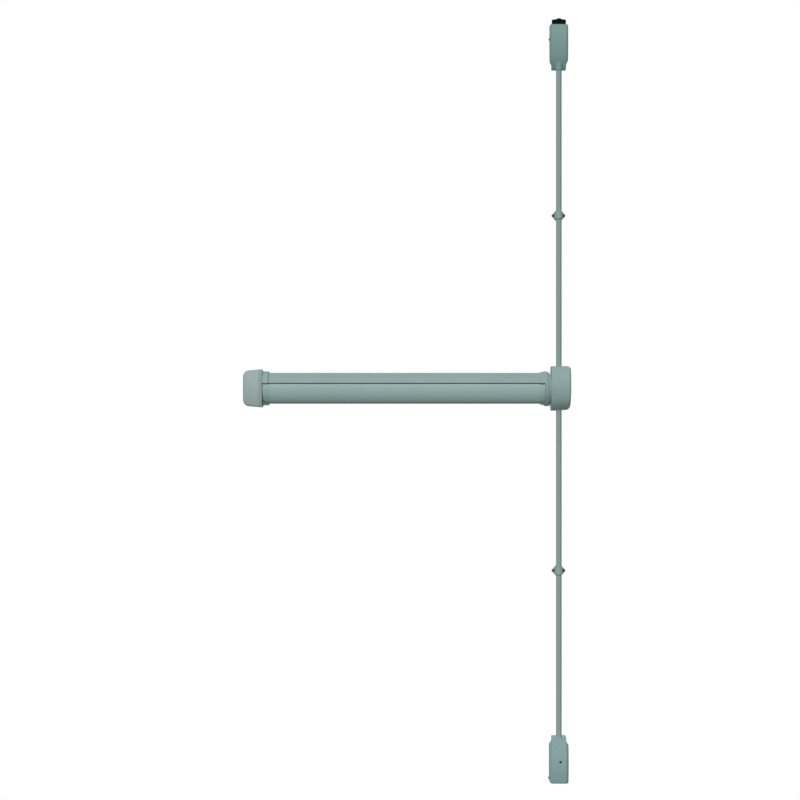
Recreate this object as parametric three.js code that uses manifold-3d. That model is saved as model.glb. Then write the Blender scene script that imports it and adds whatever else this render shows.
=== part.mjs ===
// A panic exit bar for a door: a push bar, a vertical head that holds a rocker, two rods and two latches.
// Lengths are in millimetres. The door's face is the plane y = 0, and the device stands off it towards -y,
// so a depth here is a distance from the door. X runs right along the bar and Z runs up.
// The origin lies on the door's face, where the axis of the rods crosses the axis of the bar.
import * as THREE from "three";
import { mergeVertices } from "three/addons/utils/BufferGeometryUtils.js";
import Module from "manifold-3d";

const wasm = await Module();
wasm.setup();

// Fits
const fitGap = 0.3; // between pieces that seat on each other
const slideGap = 0.5; // between pieces that slide past each other
const slotPlay = 0.4; // on each side of a pin in a fork or a slot
const overrun = 1; // how far a cut runs past the piece that it cuts
const mergeReach = 0.001; // corners closer than this are one corner
const chordTolerance = 0.12; // how far a flat may lie from the curve that it stands for

// Travels, from the bar at rest to the bar pushed home
const padTravel = 14;
const actuatorTravel = 12;
const boltTravel = 20;
const crankHalfSwing = THREE.MathUtils.degToRad(20);
const rockerHalfSwing = THREE.MathUtils.degToRad(30);

// The bar's outline, seen from its end: a flat back and an arched front
const barHeight = 82;
const arcRadius = 52;
const arcDepth = 11; // the arc's centre, from the door
const arcRise = 2; // the arc's centre, above the bar's axis
const barCorner = 7;

// The fixed rail, a C section that is open in front of the pad
const railInEndCover = 11;
const railSetback = 6.5; // of its right end, from the right collar's end
const railWall = 2.5;
const stripBottom = 13.4; // lower edge of the strip above the pad
const stripReturn = 12; // depth of the flange that the strip's edge is turned into
const lipHeight = 3.8; // of the lip under the pad

// The push pad
const padSkin = 2.5;
const grooveHeight = 1.4; // between the strip and the pad
const padLipGap = 1; // between the pad and the lip
const padFlange = 8; // depth of its lower flange
const padEndGap = 1.2; // between its left end cap and the end cover
const padCapWall = 3;
const padCapPlug = 8;
const leftPadCapLength = 16.8;
const rightPadCapLength = 13.8;
const rightPadCapStep = 2.7; // how much lower the right cap's top lies than the pad's

// The collars at the rail's ends
const collarWall = 3.8;
const leftCollarLength = 17; // with its gap to the end cover
const rightCollarLength = 28.6;
const rightCollarFront = 16; // length of the part that closes the front
const collarFootDrop = 2.4;
const collarFootDepth = 38;

// The left end cover and its bracket
const endCoverPlace = 786; // from the rods' axis to its rim
const endCoverLength = 51;
const endCoverBeyond = 10; // above and below the bar, at the rim
const endCoverEndBeyond = 7; // above and below the bar, where the end corners begin
const endCoverStraight = 16; // length of the part that doesn't taper
const endCoverCorner = 13;
const endCoverRimCorner = 4;
const endCoverProud = 5; // in front of the bar, at the crease
const endCoverCrease = 10; // from the rim to the crease
const endCoverRimDrop = 3.5;
const endCoverEndDrop = 8;
const endCoverEdge = 6;
const endCoverCrown = 140;
const endCoverWall = 2.5;
const bracketThick = 3;
const bracketStep = 5; // length of the step up to its tongue
const bracketTongueLength = 41; // in the rail
const bracketTongueInset = 11; // from the bar's top and bottom
const bracketHoleRise = 30;

// The head cover and the base plate under it
const headLeft = -21.4;
const headRight = 30.4;
const headAbove = 17.6; // above the bar
const headBelow = 19; // below the bar
const headBottomSlope = 3; // how much higher the bottom edge is on the right
const headLeftCorner = 2.5;
const headTopCorner = 10;
const headBottomCorner = 11;
const headFront = 62; // greatest depth
const headCrown = 90;
const headCrownRise = 8;
const headLeftEdge = 2;
const headRightEdge = 6;
const headLowerEdge = 48; // radius of the front's lower edge
const headWall = 2.5;
const headDoorInset = 5; // from the bar's top and bottom to the opening towards the rail
const headDoorDepth = 45;
const baseThick = 3;
const tongueThick = 2.5;
const headTongueLength = 39.5; // out of the head
const upperTongueInset = 7; // from the bar's top
const upperTongueLow = 8;
const lowerTongueInset = 6; // from the bar's bottom
const lowerTongueGap = 4.7; // under the drive plate
const headTabDrop = 14.6; // from the head's top to the middle of the screw's tab
const headTabHalf = 6;
const headTabDepth = 15;
const headTabThick = 2.2;
const headHoleX = 17;
const headUpperHoleDrop = 23.6; // from the head's top
const headLowerHoleRise = 13; // from the head's bottom
const fixingHoleRadius = 2.6;

// Screws
const screwRadius = 1.9;
const screwHeadRadius = 3;
const screwHeadHeight = 1.8;
const socketRadius = 1.7;
const socketDepth = 1.1;
const coverScrewLength = 6;

// The bell cranks
const leftCrankInset = 128; // from the pad's left end
const rightCrankInset = 98; // from the pad's right end
const crankDrop = 15.5; // from the pad's top edge to the cranks' top
const crankThick = 6;
const crankArmHalf = 5.5;
const crankHubRadius = 7;
const crankPinRadius = 3;
const crankTipWall = 3;
const padPinRadius = 3;
const actuatorPinRadius = 2.5;
const earThick = 2.5;
const earGap = 0.4; // between the crank and the ears that hold it
const bracketEarHalf = 7;
const bracketPlateHalf = 9;
const bracketPlateInset = 11; // from the bar's bottom
const bracketPlateAbove = 10.6; // beyond the upper ear
const padEarHalf = 5;
const padSaddleHalf = 10;
const padSaddleThick = 3;
const rivetHeadHeight = 2;
const rivetHeadExtra = 2; // head radius beyond the shank's

// The actuator bar, which runs along the rail into the head
const actuatorThick = 4;
const actuatorWidth = 8.6;
const crankPivotBeyond = 12; // from the actuator's front edge
const actuatorBeyondCrank = 20; // past the left crank's pivot
const actuatorSetback = 10.5; // from the rail's right end
const drivePlateGap = 2; // in front of the head's base plate
const drivePlateThick = 3;
const driveFootLength = 24; // under the bar's end
const driveFootThick = 3;
const driveSlotSide = 4.1; // plate beside the pin's slot
const drivePlateDrop = 5.4; // of its top, under the rocker's axis
const driveRivetRadius = 1.8;
const driveRivetInset = 6;

// The return spring between a collar on the bar and a seat on the rail
const springSeatInset = 180; // from the right crank's pivot
const springSeatThick = 3;
const springSeatBeyond = 7; // past the bar's front edge
const springSeatHalf = 12;
const springSeatFoot = 30;
const returnSpringLength = 70;
const returnSpringRadius = 6.8;
const returnWire = 0.9; // radius of the wire
const returnTurns = 10;
const springCollarThick = 5;

// The rocker
const rockerGap = 3.5; // in front of the drive plate
const rockerThick = 4;
const rockerArmHalf = 4.5;
const rockerHubRadius = 8;
const rockerPivotRadius = 4.5;
const rockerPivotFlange = 7;
const rockerFlangeThick = 1.2;
const rockerPinRadius = 2.5;
const rockerHeadThick = 1;
const pinHeadThick = 1.4;

// The slides, rods and their adjusters
const rodRadius = 7.5;
const rodWall = 1.5;
const rodInHead = 18.6; // length of the upper rod in the head
const slideGapToRocker = 1.75;
const slideThick = 3.5;
const slideClearance = 2; // from the rocker's axis, with the bolts drawn in
const slideArmHeight = 8;
const slideLugWall = 2.6;
const slideTang = 10;
const adjusterPlug = 14;
const nutRadius = 7.2;
const nutHeight = 6;
const studRadius = 4;
const studInBolt = 10;

// The rod guides
const upperGuideRise = 460;
const lowerGuideDrop = 485;
const guideCornerReach = 6.4; // of the ear's corner, from the screw's middle, before it is rounded
const guideCornerRise = 21;
const guideEarRound = 4.5;
const guideWaistRound = 7;
const guideThick = 3;
const guideArchWall = 2.5;
const guideArchHalf = 10;

// The latches, each measured from its neck's end: upwards on the top one and downwards on the bottom one
const topLatchStart = 846.8;
const topLatchLength = 119.7;
const topLatchHalf = 24;
const bottomLatchStart = 923.8;
const bottomLatchLength = 125.2;
const bottomLatchHalf = 25.3;
const neckHalf = 19;
const neckLength = 13.5;
const shoulderLength = 10;
const latchCorner = 2;
const latchFront = 38;
const latchCrown = 170;
const topCrownPlace = 75; // of the latch's deepest point, from the neck's end
const bottomCrownPlace = 73;
const latchEdge = 5;
const latchWall = 2.5;
const neckBossRadius = 10.6;
const neckBossLength = 17;
const latchPlateThick = 2.5;
const latchPlateBeyond = 1; // from the shoulders to the plate's end
const latchTabGap = 0.8; // between the tab and the bolt
const latchTabThick = 2;
const latchTabHalf = 8;
const topSideScrewInset = 38; // from the case's outer end
const bottomSideScrewInset = 13;
const sideScrewInset = 3.7; // from the tab's front edge
const latchHolePlace = 55;
const latchHoleX = 12;
const springEarPlace = 36;
const springEarThick = 3;
const springEarHalf = 12;
const springEarDepth = 27;
const rodInLatch = 22; // of the rod's end, from the neck's end
const boltHalf = 18.5;
const boltBehind = 7; // behind the rod's axis
const boltInFront = 6; // in front of the rod's axis
const topBoltInCase = 30;
const bottomBoltInCase = 35;
const topBoltReach = 12.1; // of the tip's corners, out of the case
const topBoltPeak = 4;
const bottomBoltInset = 1; // of the tip, inside the mouth
const boltEdge = 1.5;
const boltSpringRadius = 5.6;
const boltWire = 0.7;
const boltTurns = 9;
const frontScrewX = 3;
const frontScrewPlace = 66;
const frontScrewLength = 8;

// Counts of flats and steps
const pinSides = 16;
const studSides = 12;
const rodSides = 24;
const boreSides = 24;
const hexSides = 6;
const coilSteps = 8; // for each curl of a spring
const wireSides = 5;

// Heights that follow from the ones above
const barTop = barHeight / 2;
const headTop = barTop + headAbove;
const headBottom = -barTop - headBelow;
const lipTop = lipHeight - barTop;
const padTop = stripBottom - grooveHeight;
const padBottom = lipTop + padLipGap;
const crankHigh = padTop - crankDrop;
const crankLow = crankHigh - crankThick;
const actuatorHigh = crankLow - slideGap;
const actuatorLow = actuatorHigh - actuatorThick;
const actuatorRise = (actuatorLow + actuatorHigh) / 2;
const upperEarLow = crankHigh + earGap;
const upperEarHigh = upperEarLow + earThick;
const lowerEarHigh = actuatorLow - slideGap;
const lowerEarLow = lowerEarHigh - earThick;
const padEarHigh = crankLow - earGap;
const padEarLow = padEarHigh - earThick;
const driveFootHigh = actuatorLow - fitGap;
const driveFootLow = driveFootHigh - driveFootThick;
const upperTongueHigh = barTop - upperTongueInset;
const lowerTongueLow = lowerTongueInset - barTop;
const headTabRise = headTop - headTabDrop;
const rodEndRise = headTop - rodInHead;
const slideClearRise = boltTravel + slideClearance;

// Where a latch's base plate starts, from its neck's end
const latchPlateStart = neckLength + shoulderLength + latchPlateBeyond;

// How far the pins stand from the pivots that they turn about, and where
const padPinX = -padTravel / 2 / Math.tan(crankHalfSwing);
const padPinFar = padTravel / 2 / Math.sin(crankHalfSwing);
const actuatorPinOffset = actuatorTravel / 2 / Math.tan(crankHalfSwing);
const actuatorPinFar = actuatorTravel / 2 / Math.sin(crankHalfSwing);
const rockerReach = boltTravel / 2 / Math.sin(rockerHalfSwing);
const rockerPinX = rockerReach * Math.cos(rockerHalfSwing);
const rockerPinRise = boltTravel / 2;
const driveReach = actuatorTravel / 2 / Math.sin(rockerHalfSwing);
const drivePinX = -actuatorTravel / 2;
const drivePinRise = -driveReach * Math.cos(rockerHalfSwing);

// Depths that follow, from the door outwards
const tongueNear = railWall + fitGap;
const tongueFar = tongueNear + tongueThick;
const drivePlateNear = baseThick + drivePlateGap;
const drivePlateFar = drivePlateNear + drivePlateThick;
const actuatorNear = drivePlateFar + slotPlay;
const actuatorFar = actuatorNear + actuatorWidth;
const actuatorDepth = (actuatorNear + actuatorFar) / 2;
const crankPivotDepth = actuatorFar + crankPivotBeyond;
const actuatorPinDepth = crankPivotDepth - actuatorPinOffset;
const padPinDepth = crankPivotDepth + padTravel / 2;
const rockerNear = drivePlateFar + rockerGap;
const rockerFar = rockerNear + rockerThick;
const rodDepth = rockerFar + slideGapToRocker + slideThick / 2;
const boltNear = rodDepth - boltBehind;
const boltFar = rodDepth + boltInFront;
const latchTabDepth = boltNear - latchTabGap;
const sideScrewDepth = latchTabDepth - sideScrewInset;
const barFront = arcDepth + arcRadius;
const padEdgeDepth = arcDepth + Math.sqrt(arcRadius ** 2 - (padBottom - arcRise) ** 2);
const padBackDepth = padEdgeDepth - padFlange;
const endCoverFront = barFront + endCoverProud;
const frontReach = barFront + collarWall + overrun;

// Places along the bar that follow, from the left and from the head
const endCoverRight = -endCoverPlace;
const endCoverLeft = endCoverRight - endCoverLength;
const endCoverTaper = endCoverLength - endCoverStraight;
const railLeft = endCoverRight - railInEndCover;
const leftCollarLeft = endCoverRight + fitGap;
const leftCollarRight = endCoverRight + leftCollarLength;
const padLeft = endCoverRight + padEndGap + leftPadCapLength;
const rightCollarRight = headLeft - slideGap;
const rightCollarLeft = rightCollarRight - rightCollarLength;
const railRight = rightCollarRight - railSetback;
const footLeft = rightCollarRight - rightCollarFront;
const padRight = footLeft - fitGap - rightPadCapLength;
const leftCrankX = padLeft + leftCrankInset;
const rightCrankX = padRight - rightCrankInset;
const actuatorLeft = leftCrankX - actuatorBeyondCrank;
const actuatorRight = railRight - actuatorSetback;
const springSeatX = rightCrankX - springSeatInset;
const guideArchRadius = rodRadius + slideGap + guideArchWall;
const guideScrewX = guideArchRadius + slotPlay + screwHeadRadius;

// A closed geometry as a solid that can be joined and cut
function toSolid(geometry) {
  geometry.deleteAttribute("normal");
  geometry.deleteAttribute("uv");
  const merged = mergeVertices(geometry, mergeReach);
  const corners = merged.index.array;
  const kept = [];
  for (let i = 0; i < corners.length; i += 3) {
    const [a, b, c] = [corners[i], corners[i + 1], corners[i + 2]];
    if (a !== b && b !== c && c !== a) kept.push(a, b, c);
  }
  const vertProperties = new Float32Array(merged.attributes.position.array);
  return new wasm.Manifold(new wasm.Mesh({ numProp: 3, vertProperties, triVerts: new Uint32Array(kept) }));
}

// A block between two values of x, of depth and of z
function block(x0, x1, near, far, low, high) {
  const geometry = new THREE.BoxGeometry(x1 - x0, far - near, high - low);
  geometry.translate((x0 + x1) / 2, -(near + far) / 2, (low + high) / 2);
  return toSolid(geometry);
}

// Round bars along each axis
function roundAlongX(radius, left, right, depth, rise, sides = pinSides) {
  const geometry = new THREE.CylinderGeometry(radius, radius, right - left, sides);
  geometry.rotateZ(Math.PI / 2);
  geometry.translate((left + right) / 2, -depth, rise);
  return toSolid(geometry);
}

function roundAlongY(radius, near, far, x, rise, sides = pinSides) {
  const geometry = new THREE.CylinderGeometry(radius, radius, far - near, sides);
  geometry.translate(x, -(near + far) / 2, rise);
  return toSolid(geometry);
}

function roundAlongZ(radius, low, high, x, depth, sides = pinSides) {
  const geometry = new THREE.CylinderGeometry(radius, radius, high - low, sides);
  geometry.rotateX(Math.PI / 2);
  geometry.translate(x, -depth, (low + high) / 2);
  return toSolid(geometry);
}

// Bores along each axis, which run past both ends of what they cut
const boreAlongX = (radius, left, right, depth, rise, sides) =>
  roundAlongX(radius, left - overrun, right + overrun, depth, rise, sides);
const boreAlongY = (radius, near, far, x, rise, sides) =>
  roundAlongY(radius, near - overrun, far + overrun, x, rise, sides);
const boreAlongZ = (radius, low, high, x, depth, sides) =>
  roundAlongZ(radius, low - overrun, high + overrun, x, depth, sides);

// Points of an arc, close enough together that no chord strays from it by more than the tolerance
const arcStep = (radius) => 2 * Math.acos(1 - Math.min(chordTolerance / radius, 1 / 2));
function arcPoints(u, v, radius, from, to) {
  const steps = Math.ceil(Math.abs(to - from) / arcStep(radius));
  return Array.from({ length: steps + 1 }, (_, i) => {
    const angle = from + ((to - from) * i) / steps;
    return new THREE.Vector2(u + radius * Math.cos(angle), v + radius * Math.sin(angle));
  });
}

// The points of an outline drawn through corners [u, v, rounding]
function outline(corners) {
  const points = corners.flatMap(([u, v, radius = 0], i) => {
    const here = new THREE.Vector2(u, v);
    if (!(radius > 0)) return [here];
    const [fromU, fromV] = corners[(i + corners.length - 1) % corners.length];
    const [toU, toV] = corners[(i + 1) % corners.length];
    const back = new THREE.Vector2(fromU, fromV).sub(here).normalize();
    const ahead = new THREE.Vector2(toU, toV).sub(here).normalize();
    const half = Math.acos(back.dot(ahead)) / 2;
    const centre = back.clone().add(ahead).normalize().multiplyScalar(radius / Math.sin(half)).add(here);
    const first = back.clone().multiplyScalar(radius / Math.tan(half)).add(here).sub(centre).angle();
    const turn = (Math.PI - 2 * half) * Math.sign(back.clone().negate().cross(ahead));
    return arcPoints(centre.x, centre.y, radius, first, first + turn);
  });
  return withoutDoubles(points);
}

// A list of points without the doubled ones where two stretches meet
const withoutDoubles = (points) =>
  points.filter((point, i) => point.distanceTo(points[(i + 1) % points.length]) > mergeReach);

// An outline of depth and z: a flat back, a flat top and bottom, and an arched front with rounded corners
function archedOutline(bottom, top, radius, corner, back) {
  const reach = radius - corner;
  const lowRise = bottom + corner - arcRise;
  const highRise = top - corner - arcRise;
  const lowOut = Math.sqrt(reach ** 2 - lowRise ** 2);
  const highOut = Math.sqrt(reach ** 2 - highRise ** 2);
  const lowAngle = Math.atan2(lowRise, lowOut);
  const highAngle = Math.atan2(highRise, highOut);
  return withoutDoubles([
    ...arcPoints(arcDepth + lowOut, bottom + corner, corner, -Math.PI / 2, lowAngle),
    ...arcPoints(arcDepth, arcRise, radius, lowAngle, highAngle),
    ...arcPoints(arcDepth + highOut, top - corner, corner, highAngle, Math.PI / 2),
    new THREE.Vector2(back, top),
    new THREE.Vector2(back, bottom),
  ]);
}

const barOutline = (grow, back) =>
  archedOutline(-barTop - grow, barTop + grow, arcRadius + grow, barCorner + grow, back);

const padOutline = (inset, back, drop = 0) =>
  archedOutline(padBottom + inset, padTop - inset - drop, arcRadius - inset, fitGap, back);

// An outline pushed along an axis of the part
function extruded(points, length, u, v, w, start) {
  const shape = new THREE.Shape(points);
  const geometry = new THREE.ExtrudeGeometry(shape, { depth: length, bevelEnabled: false });
  geometry.applyMatrix4(new THREE.Matrix4().makeBasis(u, v, w).setPosition(start));
  return toSolid(geometry);
}

const right = new THREE.Vector3(1, 0, 0);
const outward = new THREE.Vector3(0, -1, 0);
const up = new THREE.Vector3(0, 0, 1);

// An outline of depth and z, from one x to another
function alongX(points, left, rightEnd) {
  const start = new THREE.Vector3(rightEnd, 0, 0);
  return extruded(points, rightEnd - left, outward, up, right.clone().negate(), start);
}

// An outline of x and z, from one depth to another
function alongY(points, near, far) {
  return extruded(points, far - near, right, up, outward, new THREE.Vector3(0, -near, 0));
}

// An outline of x and depth, from one z to another
function alongZ(points, low, high) {
  return extruded(points, high - low, right, outward, up.clone().negate(), new THREE.Vector3(0, 0, high));
}

// A body whose front is crowned from top to bottom: a section of x and radius, turned about a level axis
function crowned(section, radius, front, rise) {
  const points = section.map((p) => new THREE.Vector2(p.y, p.x));
  const geometry = new THREE.LatheGeometry(points, Math.ceil((2 * Math.PI) / arcStep(radius)));
  geometry.rotateZ(-Math.PI / 2);
  geometry.translate(0, radius - front, rise);
  return toSolid(geometry);
}

// A helical spring along z, with its axis at the origin
function coil(radius, wire, length, turns) {
  const rings = turns * coilSteps;
  const places = [];
  const faces = [];
  for (let i = 0; i <= rings; i++) {
    const turn = (i / coilSteps) * 2 * Math.PI;
    const height = wire + ((length - 2 * wire) * i) / rings;
    for (let j = 0; j < wireSides; j++) {
      const around = (j / wireSides) * 2 * Math.PI;
      const out = radius + wire * Math.cos(around);
      places.push(out * Math.cos(turn), out * Math.sin(turn), height + wire * Math.sin(around));
    }
  }
  for (let i = 0; i < rings; i++) {
    for (let j = 0; j < wireSides; j++) {
      const a = i * wireSides + j;
      const b = i * wireSides + ((j + 1) % wireSides);
      faces.push(a, a + wireSides, b, b, a + wireSides, b + wireSides);
    }
  }
  const lastRing = rings * wireSides;
  for (let j = 1; j < wireSides - 1; j++) {
    faces.push(0, j, j + 1);
    faces.push(lastRing, lastRing + j + 1, lastRing + j);
  }
  const geometry = new THREE.BufferGeometry();
  geometry.setAttribute("position", new THREE.Float32BufferAttribute(places, 3));
  geometry.setIndex(faces);
  return geometry;
}

// Prints the gap between neighbouring curls of a coil
function report(name, wire, length, turns) {
  const gap = (length - 2 * wire) / turns - 2 * wire;
  console.log(name + ": " + gap.toFixed(2) + " mm between curls");
}

// The scene graph: one group for each body that moves as one
const panicBar = new THREE.Group();
const bodies = ["frame", "pad", "leftCrank", "rightCrank", "actuator", "rocker", "upperRod", "lowerRod"];
const groups = Object.fromEntries(bodies.map((body) => [body, new THREE.Group()]));
panicBar.add(...Object.values(groups));

const finish = (color, roughness, metalness) =>
  new THREE.MeshStandardMaterial({ color, roughness, metalness });
const paint = {
  cover: () => finish(0x93a8a5, 0.55, 0.35),
  rail: () => finish(0x8fa6a2, 0.5, 0.35),
  pad: () => finish(0x92a8a5, 0.45, 0.35),
  rod: () => finish(0x88a09c, 0.5, 0.35),
};
const metal = {
  plated: () => finish(0xb4b8ba, 0.35, 0.9),
  spring: () => finish(0x8a8d90, 0.35, 0.9),
  bolt: () => finish(0x14191a, 0.5, 0.2),
  screw: () => finish(0x2a2f30, 0.45, 0.7),
};
const plastic = () => finish(0x8da29f, 0.6, 0.0);

// Adds a solid to a group as a named mesh
function add(group, name, solid, material, x = 0, depth = 0, rise = 0) {
  const { numProp, vertProperties, triVerts } = solid.getMesh();
  if (numProp !== 3) throw new Error(name + " carries more than places");
  const geometry = new THREE.BufferGeometry();
  geometry.setAttribute("position", new THREE.BufferAttribute(vertProperties, 3));
  geometry.setIndex(new THREE.BufferAttribute(triVerts, 1));
  geometry.computeVertexNormals();
  const mesh = new THREE.Mesh(geometry, material);
  mesh.name = name;
  mesh.position.set(x, -depth, rise);
  groups[group].add(mesh);
  return mesh;
}

// A pin along z with a head on its upper end
function headedPin(radius, low, high) {
  return roundAlongZ(radius, low, high, 0, 0).add(
    roundAlongZ(radius + rivetHeadExtra, high - rivetHeadHeight, high, 0, 0),
  );
}

// A socket head screw that points at the door, with the underside of its head at depth zero
function socketScrew(length) {
  const top = screwHeadHeight;
  return roundAlongY(screwRadius, -length, top / 2, 0, 0, studSides)
    .add(roundAlongY(screwHeadRadius, 0, top, 0, 0))
    .subtract(roundAlongY(socketRadius, top - socketDepth, top + overrun, 0, 0, hexSides));
}

// Rail, notched in the back at each end for the strap of the collar there
function rail() {
  const top = stripBottom + railWall;
  const mouth = block(railLeft - overrun, railRight + overrun, arcDepth, frontReach, lipTop, stripBottom);
  const outer = alongX(barOutline(0, 0), railLeft, railRight);
  const hollow = alongX(barOutline(-railWall, railWall), railLeft - overrun, railRight + overrun);
  const rise = stripBottom - arcRise;
  const edgeDepth = arcDepth + Math.sqrt(arcRadius ** 2 - rise ** 2);
  const flange = block(railLeft, railRight, edgeDepth - stripReturn, frontReach, stripBottom, top);
  const notch = (left, rightEnd) =>
    block(left - fitGap, rightEnd + fitGap, -overrun, railWall + fitGap, -barHeight, barHeight);
  return outer
    .subtract(hollow)
    .subtract(mouth)
    .add(outer.intersect(flange))
    .subtract(notch(leftCollarLeft, leftCollarRight))
    .subtract(notch(rightCollarLeft, rightCollarRight));
}
add("frame", "chassis_rail", rail(), paint.rail());

// Collars: a ring round the rail's end, with a strap behind and a window for the pad's end cap
function collar(left, rightEnd, windowEnd) {
  return alongX(barOutline(fitGap + collarWall, 0), left, rightEnd)
    .subtract(alongX(barOutline(fitGap, railWall), left - overrun, rightEnd + overrun))
    .subtract(block(left - overrun, windowEnd, arcDepth, frontReach, lipTop, stripBottom));
}
const leftCollar = collar(leftCollarLeft, leftCollarRight, leftCollarRight + overrun);
add("frame", "rail_end_frame_left", leftCollar, paint.cover());

const collarBottom = -barTop - fitGap - collarWall;
const footBottom = collarBottom - collarFootDrop;
const foot = block(footLeft, rightCollarRight, 0, collarFootDepth, footBottom, collarBottom + collarWall);
const rightCollar = collar(rightCollarLeft, rightCollarRight, footLeft).add(foot);
add("frame", "rail_end_frame_right", rightCollar, paint.cover());

// Left end cover: a crowned shell whose rim closes on the rail
function endCoverForm(inset, back) {
  const half = barTop + endCoverBeyond - inset;
  const endHalf = barTop + endCoverEndBeyond - inset;
  const left = endCoverLeft + inset;
  const rightEnd = endCoverRight - inset;
  const straightEnd = rightEnd - endCoverTaper;
  const face = outline([
    [rightEnd, -half, endCoverRimCorner - inset],
    [rightEnd, half, endCoverRimCorner - inset],
    [straightEnd, endHalf],
    [left, endHalf, endCoverCorner - inset],
    [left, -endHalf, endCoverCorner - inset],
    [straightEnd, -endHalf],
  ]);
  const crown = endCoverCrown - inset;
  const section = outline([
    [left, 0],
    [left, crown - endCoverEndDrop, endCoverEdge - inset],
    [rightEnd - endCoverCrease, crown],
    [rightEnd, crown - endCoverRimDrop],
    [rightEnd, 0],
  ]);
  const front = endCoverFront - inset;
  return alongY(face, back, front + overrun).intersect(crowned(section, crown, front, 0));
}
const endCover = endCoverForm(0, 0)
  .subtract(endCoverForm(endCoverWall, -overrun))
  .subtract(alongX(barOutline(fitGap, -overrun), endCoverRight - endCoverCrease, endCoverRight + overrun));
add("frame", "left_end_cover", endCover, paint.cover());

// Left end bracket: a plate on the door, stepped up into a tongue over the rail's back
function leftBracket() {
  const inset = endCoverWall + fitGap;
  const half = barTop + endCoverEndBeyond - inset;
  const tongueHalf = barTop - bracketTongueInset;
  const left = endCoverLeft + inset;
  const corner = endCoverCorner - inset;
  const plate = outline([
    [railLeft - fitGap, -half],
    [railLeft - fitGap, half],
    [left, half, corner],
    [left, -half, corner],
  ]);
  const stepLeft = railLeft - bracketStep;
  const tongueRight = railLeft + bracketTongueLength;
  const holeX = (left + railLeft) / 2;
  return alongY(plate, 0, bracketThick)
    .add(block(stepLeft, tongueRight, tongueNear, tongueFar, -tongueHalf, tongueHalf))
    .subtract(boreAlongY(fixingHoleRadius, 0, bracketThick, holeX, bracketHoleRise))
    .subtract(boreAlongY(fixingHoleRadius, 0, bracketThick, holeX, -bracketHoleRise));
}
add("frame", "left_end_bracket", leftBracket(), metal.plated());

// Head cover
function headFace(inset) {
  return outline([
    [headRight - inset, headTop - inset, headTopCorner - inset],
    [headLeft + inset, headTop - inset, headLeftCorner - inset],
    [headLeft + inset, headBottom + inset, headLeftCorner - inset],
    [headRight - inset, headBottom + headBottomSlope + inset, headBottomCorner - inset],
  ]);
}
function headForm(inset, back) {
  const crown = headCrown - inset;
  const section = outline([
    [headLeft + inset, 0],
    [headLeft + inset, crown, headLeftEdge - inset],
    [headRight - inset, crown, headRightEdge - inset],
    [headRight - inset, 0],
  ]);
  const front = headFront - inset;
  const face = alongY(headFace(inset), back, front + overrun);
  const profile = outline([
    [back, headTop + overrun],
    [back, headBottom + inset],
    [front + overrun, headBottom + inset, headLowerEdge - inset],
    [front + overrun, headTop + overrun],
  ]);
  return face
    .intersect(crowned(section, crown, front, headCrownRise))
    .intersect(alongX(profile, headLeft, headRight));
}
const headScrewDepth = (baseThick + headTabDepth) / 2;
const headScrewInner = headRight - headWall - fitGap * 2;
const headDoorHalf = barTop - headDoorInset;
const headDoor = block(
  headLeft - overrun, headLeft + headWall + overrun, -overrun, headDoorDepth, -headDoorHalf, headDoorHalf,
);
const headCover = headForm(0, 0)
  .subtract(headForm(headWall, -overrun))
  .subtract(boreAlongZ(rodRadius + slideGap, headBottom, headTop, 0, rodDepth, boreSides))
  .subtract(headDoor)
  .subtract(boreAlongX(screwHeadRadius + fitGap, headScrewInner, headRight, headScrewDepth, headTabRise));
add("frame", "head_cover", headCover, paint.cover());

// Head base plate, with two tongues into the rail and a tab for the cover's screw
function headBase() {
  const inset = headWall + fitGap;
  const tabRight = headRight - inset;
  const tabLeft = tabRight - headTabThick;
  const hole = (rise) => boreAlongY(fixingHoleRadius, 0, baseThick, headHoleX, rise);
  const tongueLeft = headLeft - headTongueLength;
  const tongueRight = headLeft + headWall + baseThick;
  const tongue = (low, high) => block(tongueLeft, tongueRight, tongueNear, tongueFar, low, high);
  return alongY(headFace(inset), 0, baseThick)
    .add(tongue(upperTongueLow, upperTongueHigh))
    .add(tongue(lowerTongueLow, driveFootLow - lowerTongueGap))
    .add(block(tabLeft, tabRight, 0, headTabDepth, headTabRise - headTabHalf, headTabRise + headTabHalf))
    .subtract(hole(headTop - headUpperHoleDrop))
    .subtract(hole(headBottom + headLowerHoleRise))
    .subtract(boreAlongX(screwRadius + fitGap, tabLeft, tabRight, headScrewDepth, headTabRise, studSides));
}
add("frame", "head_base_plate", headBase(), metal.plated());

// The cover's screw, drawn at the origin with its head's face there and its point towards -x
function sunkScrew(length) {
  return roundAlongX(screwHeadRadius, -screwHeadHeight, 0, 0, 0)
    .add(roundAlongX(screwRadius, -length, -screwHeadHeight / 2, 0, 0, studSides))
    .subtract(roundAlongX(socketRadius, -socketDepth, overrun, 0, 0, hexSides));
}
const headScrew = sunkScrew(coverScrewLength);
add("frame", "head_cover_screw", headScrew, metal.screw(), headRight, headScrewDepth, headTabRise);

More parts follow.
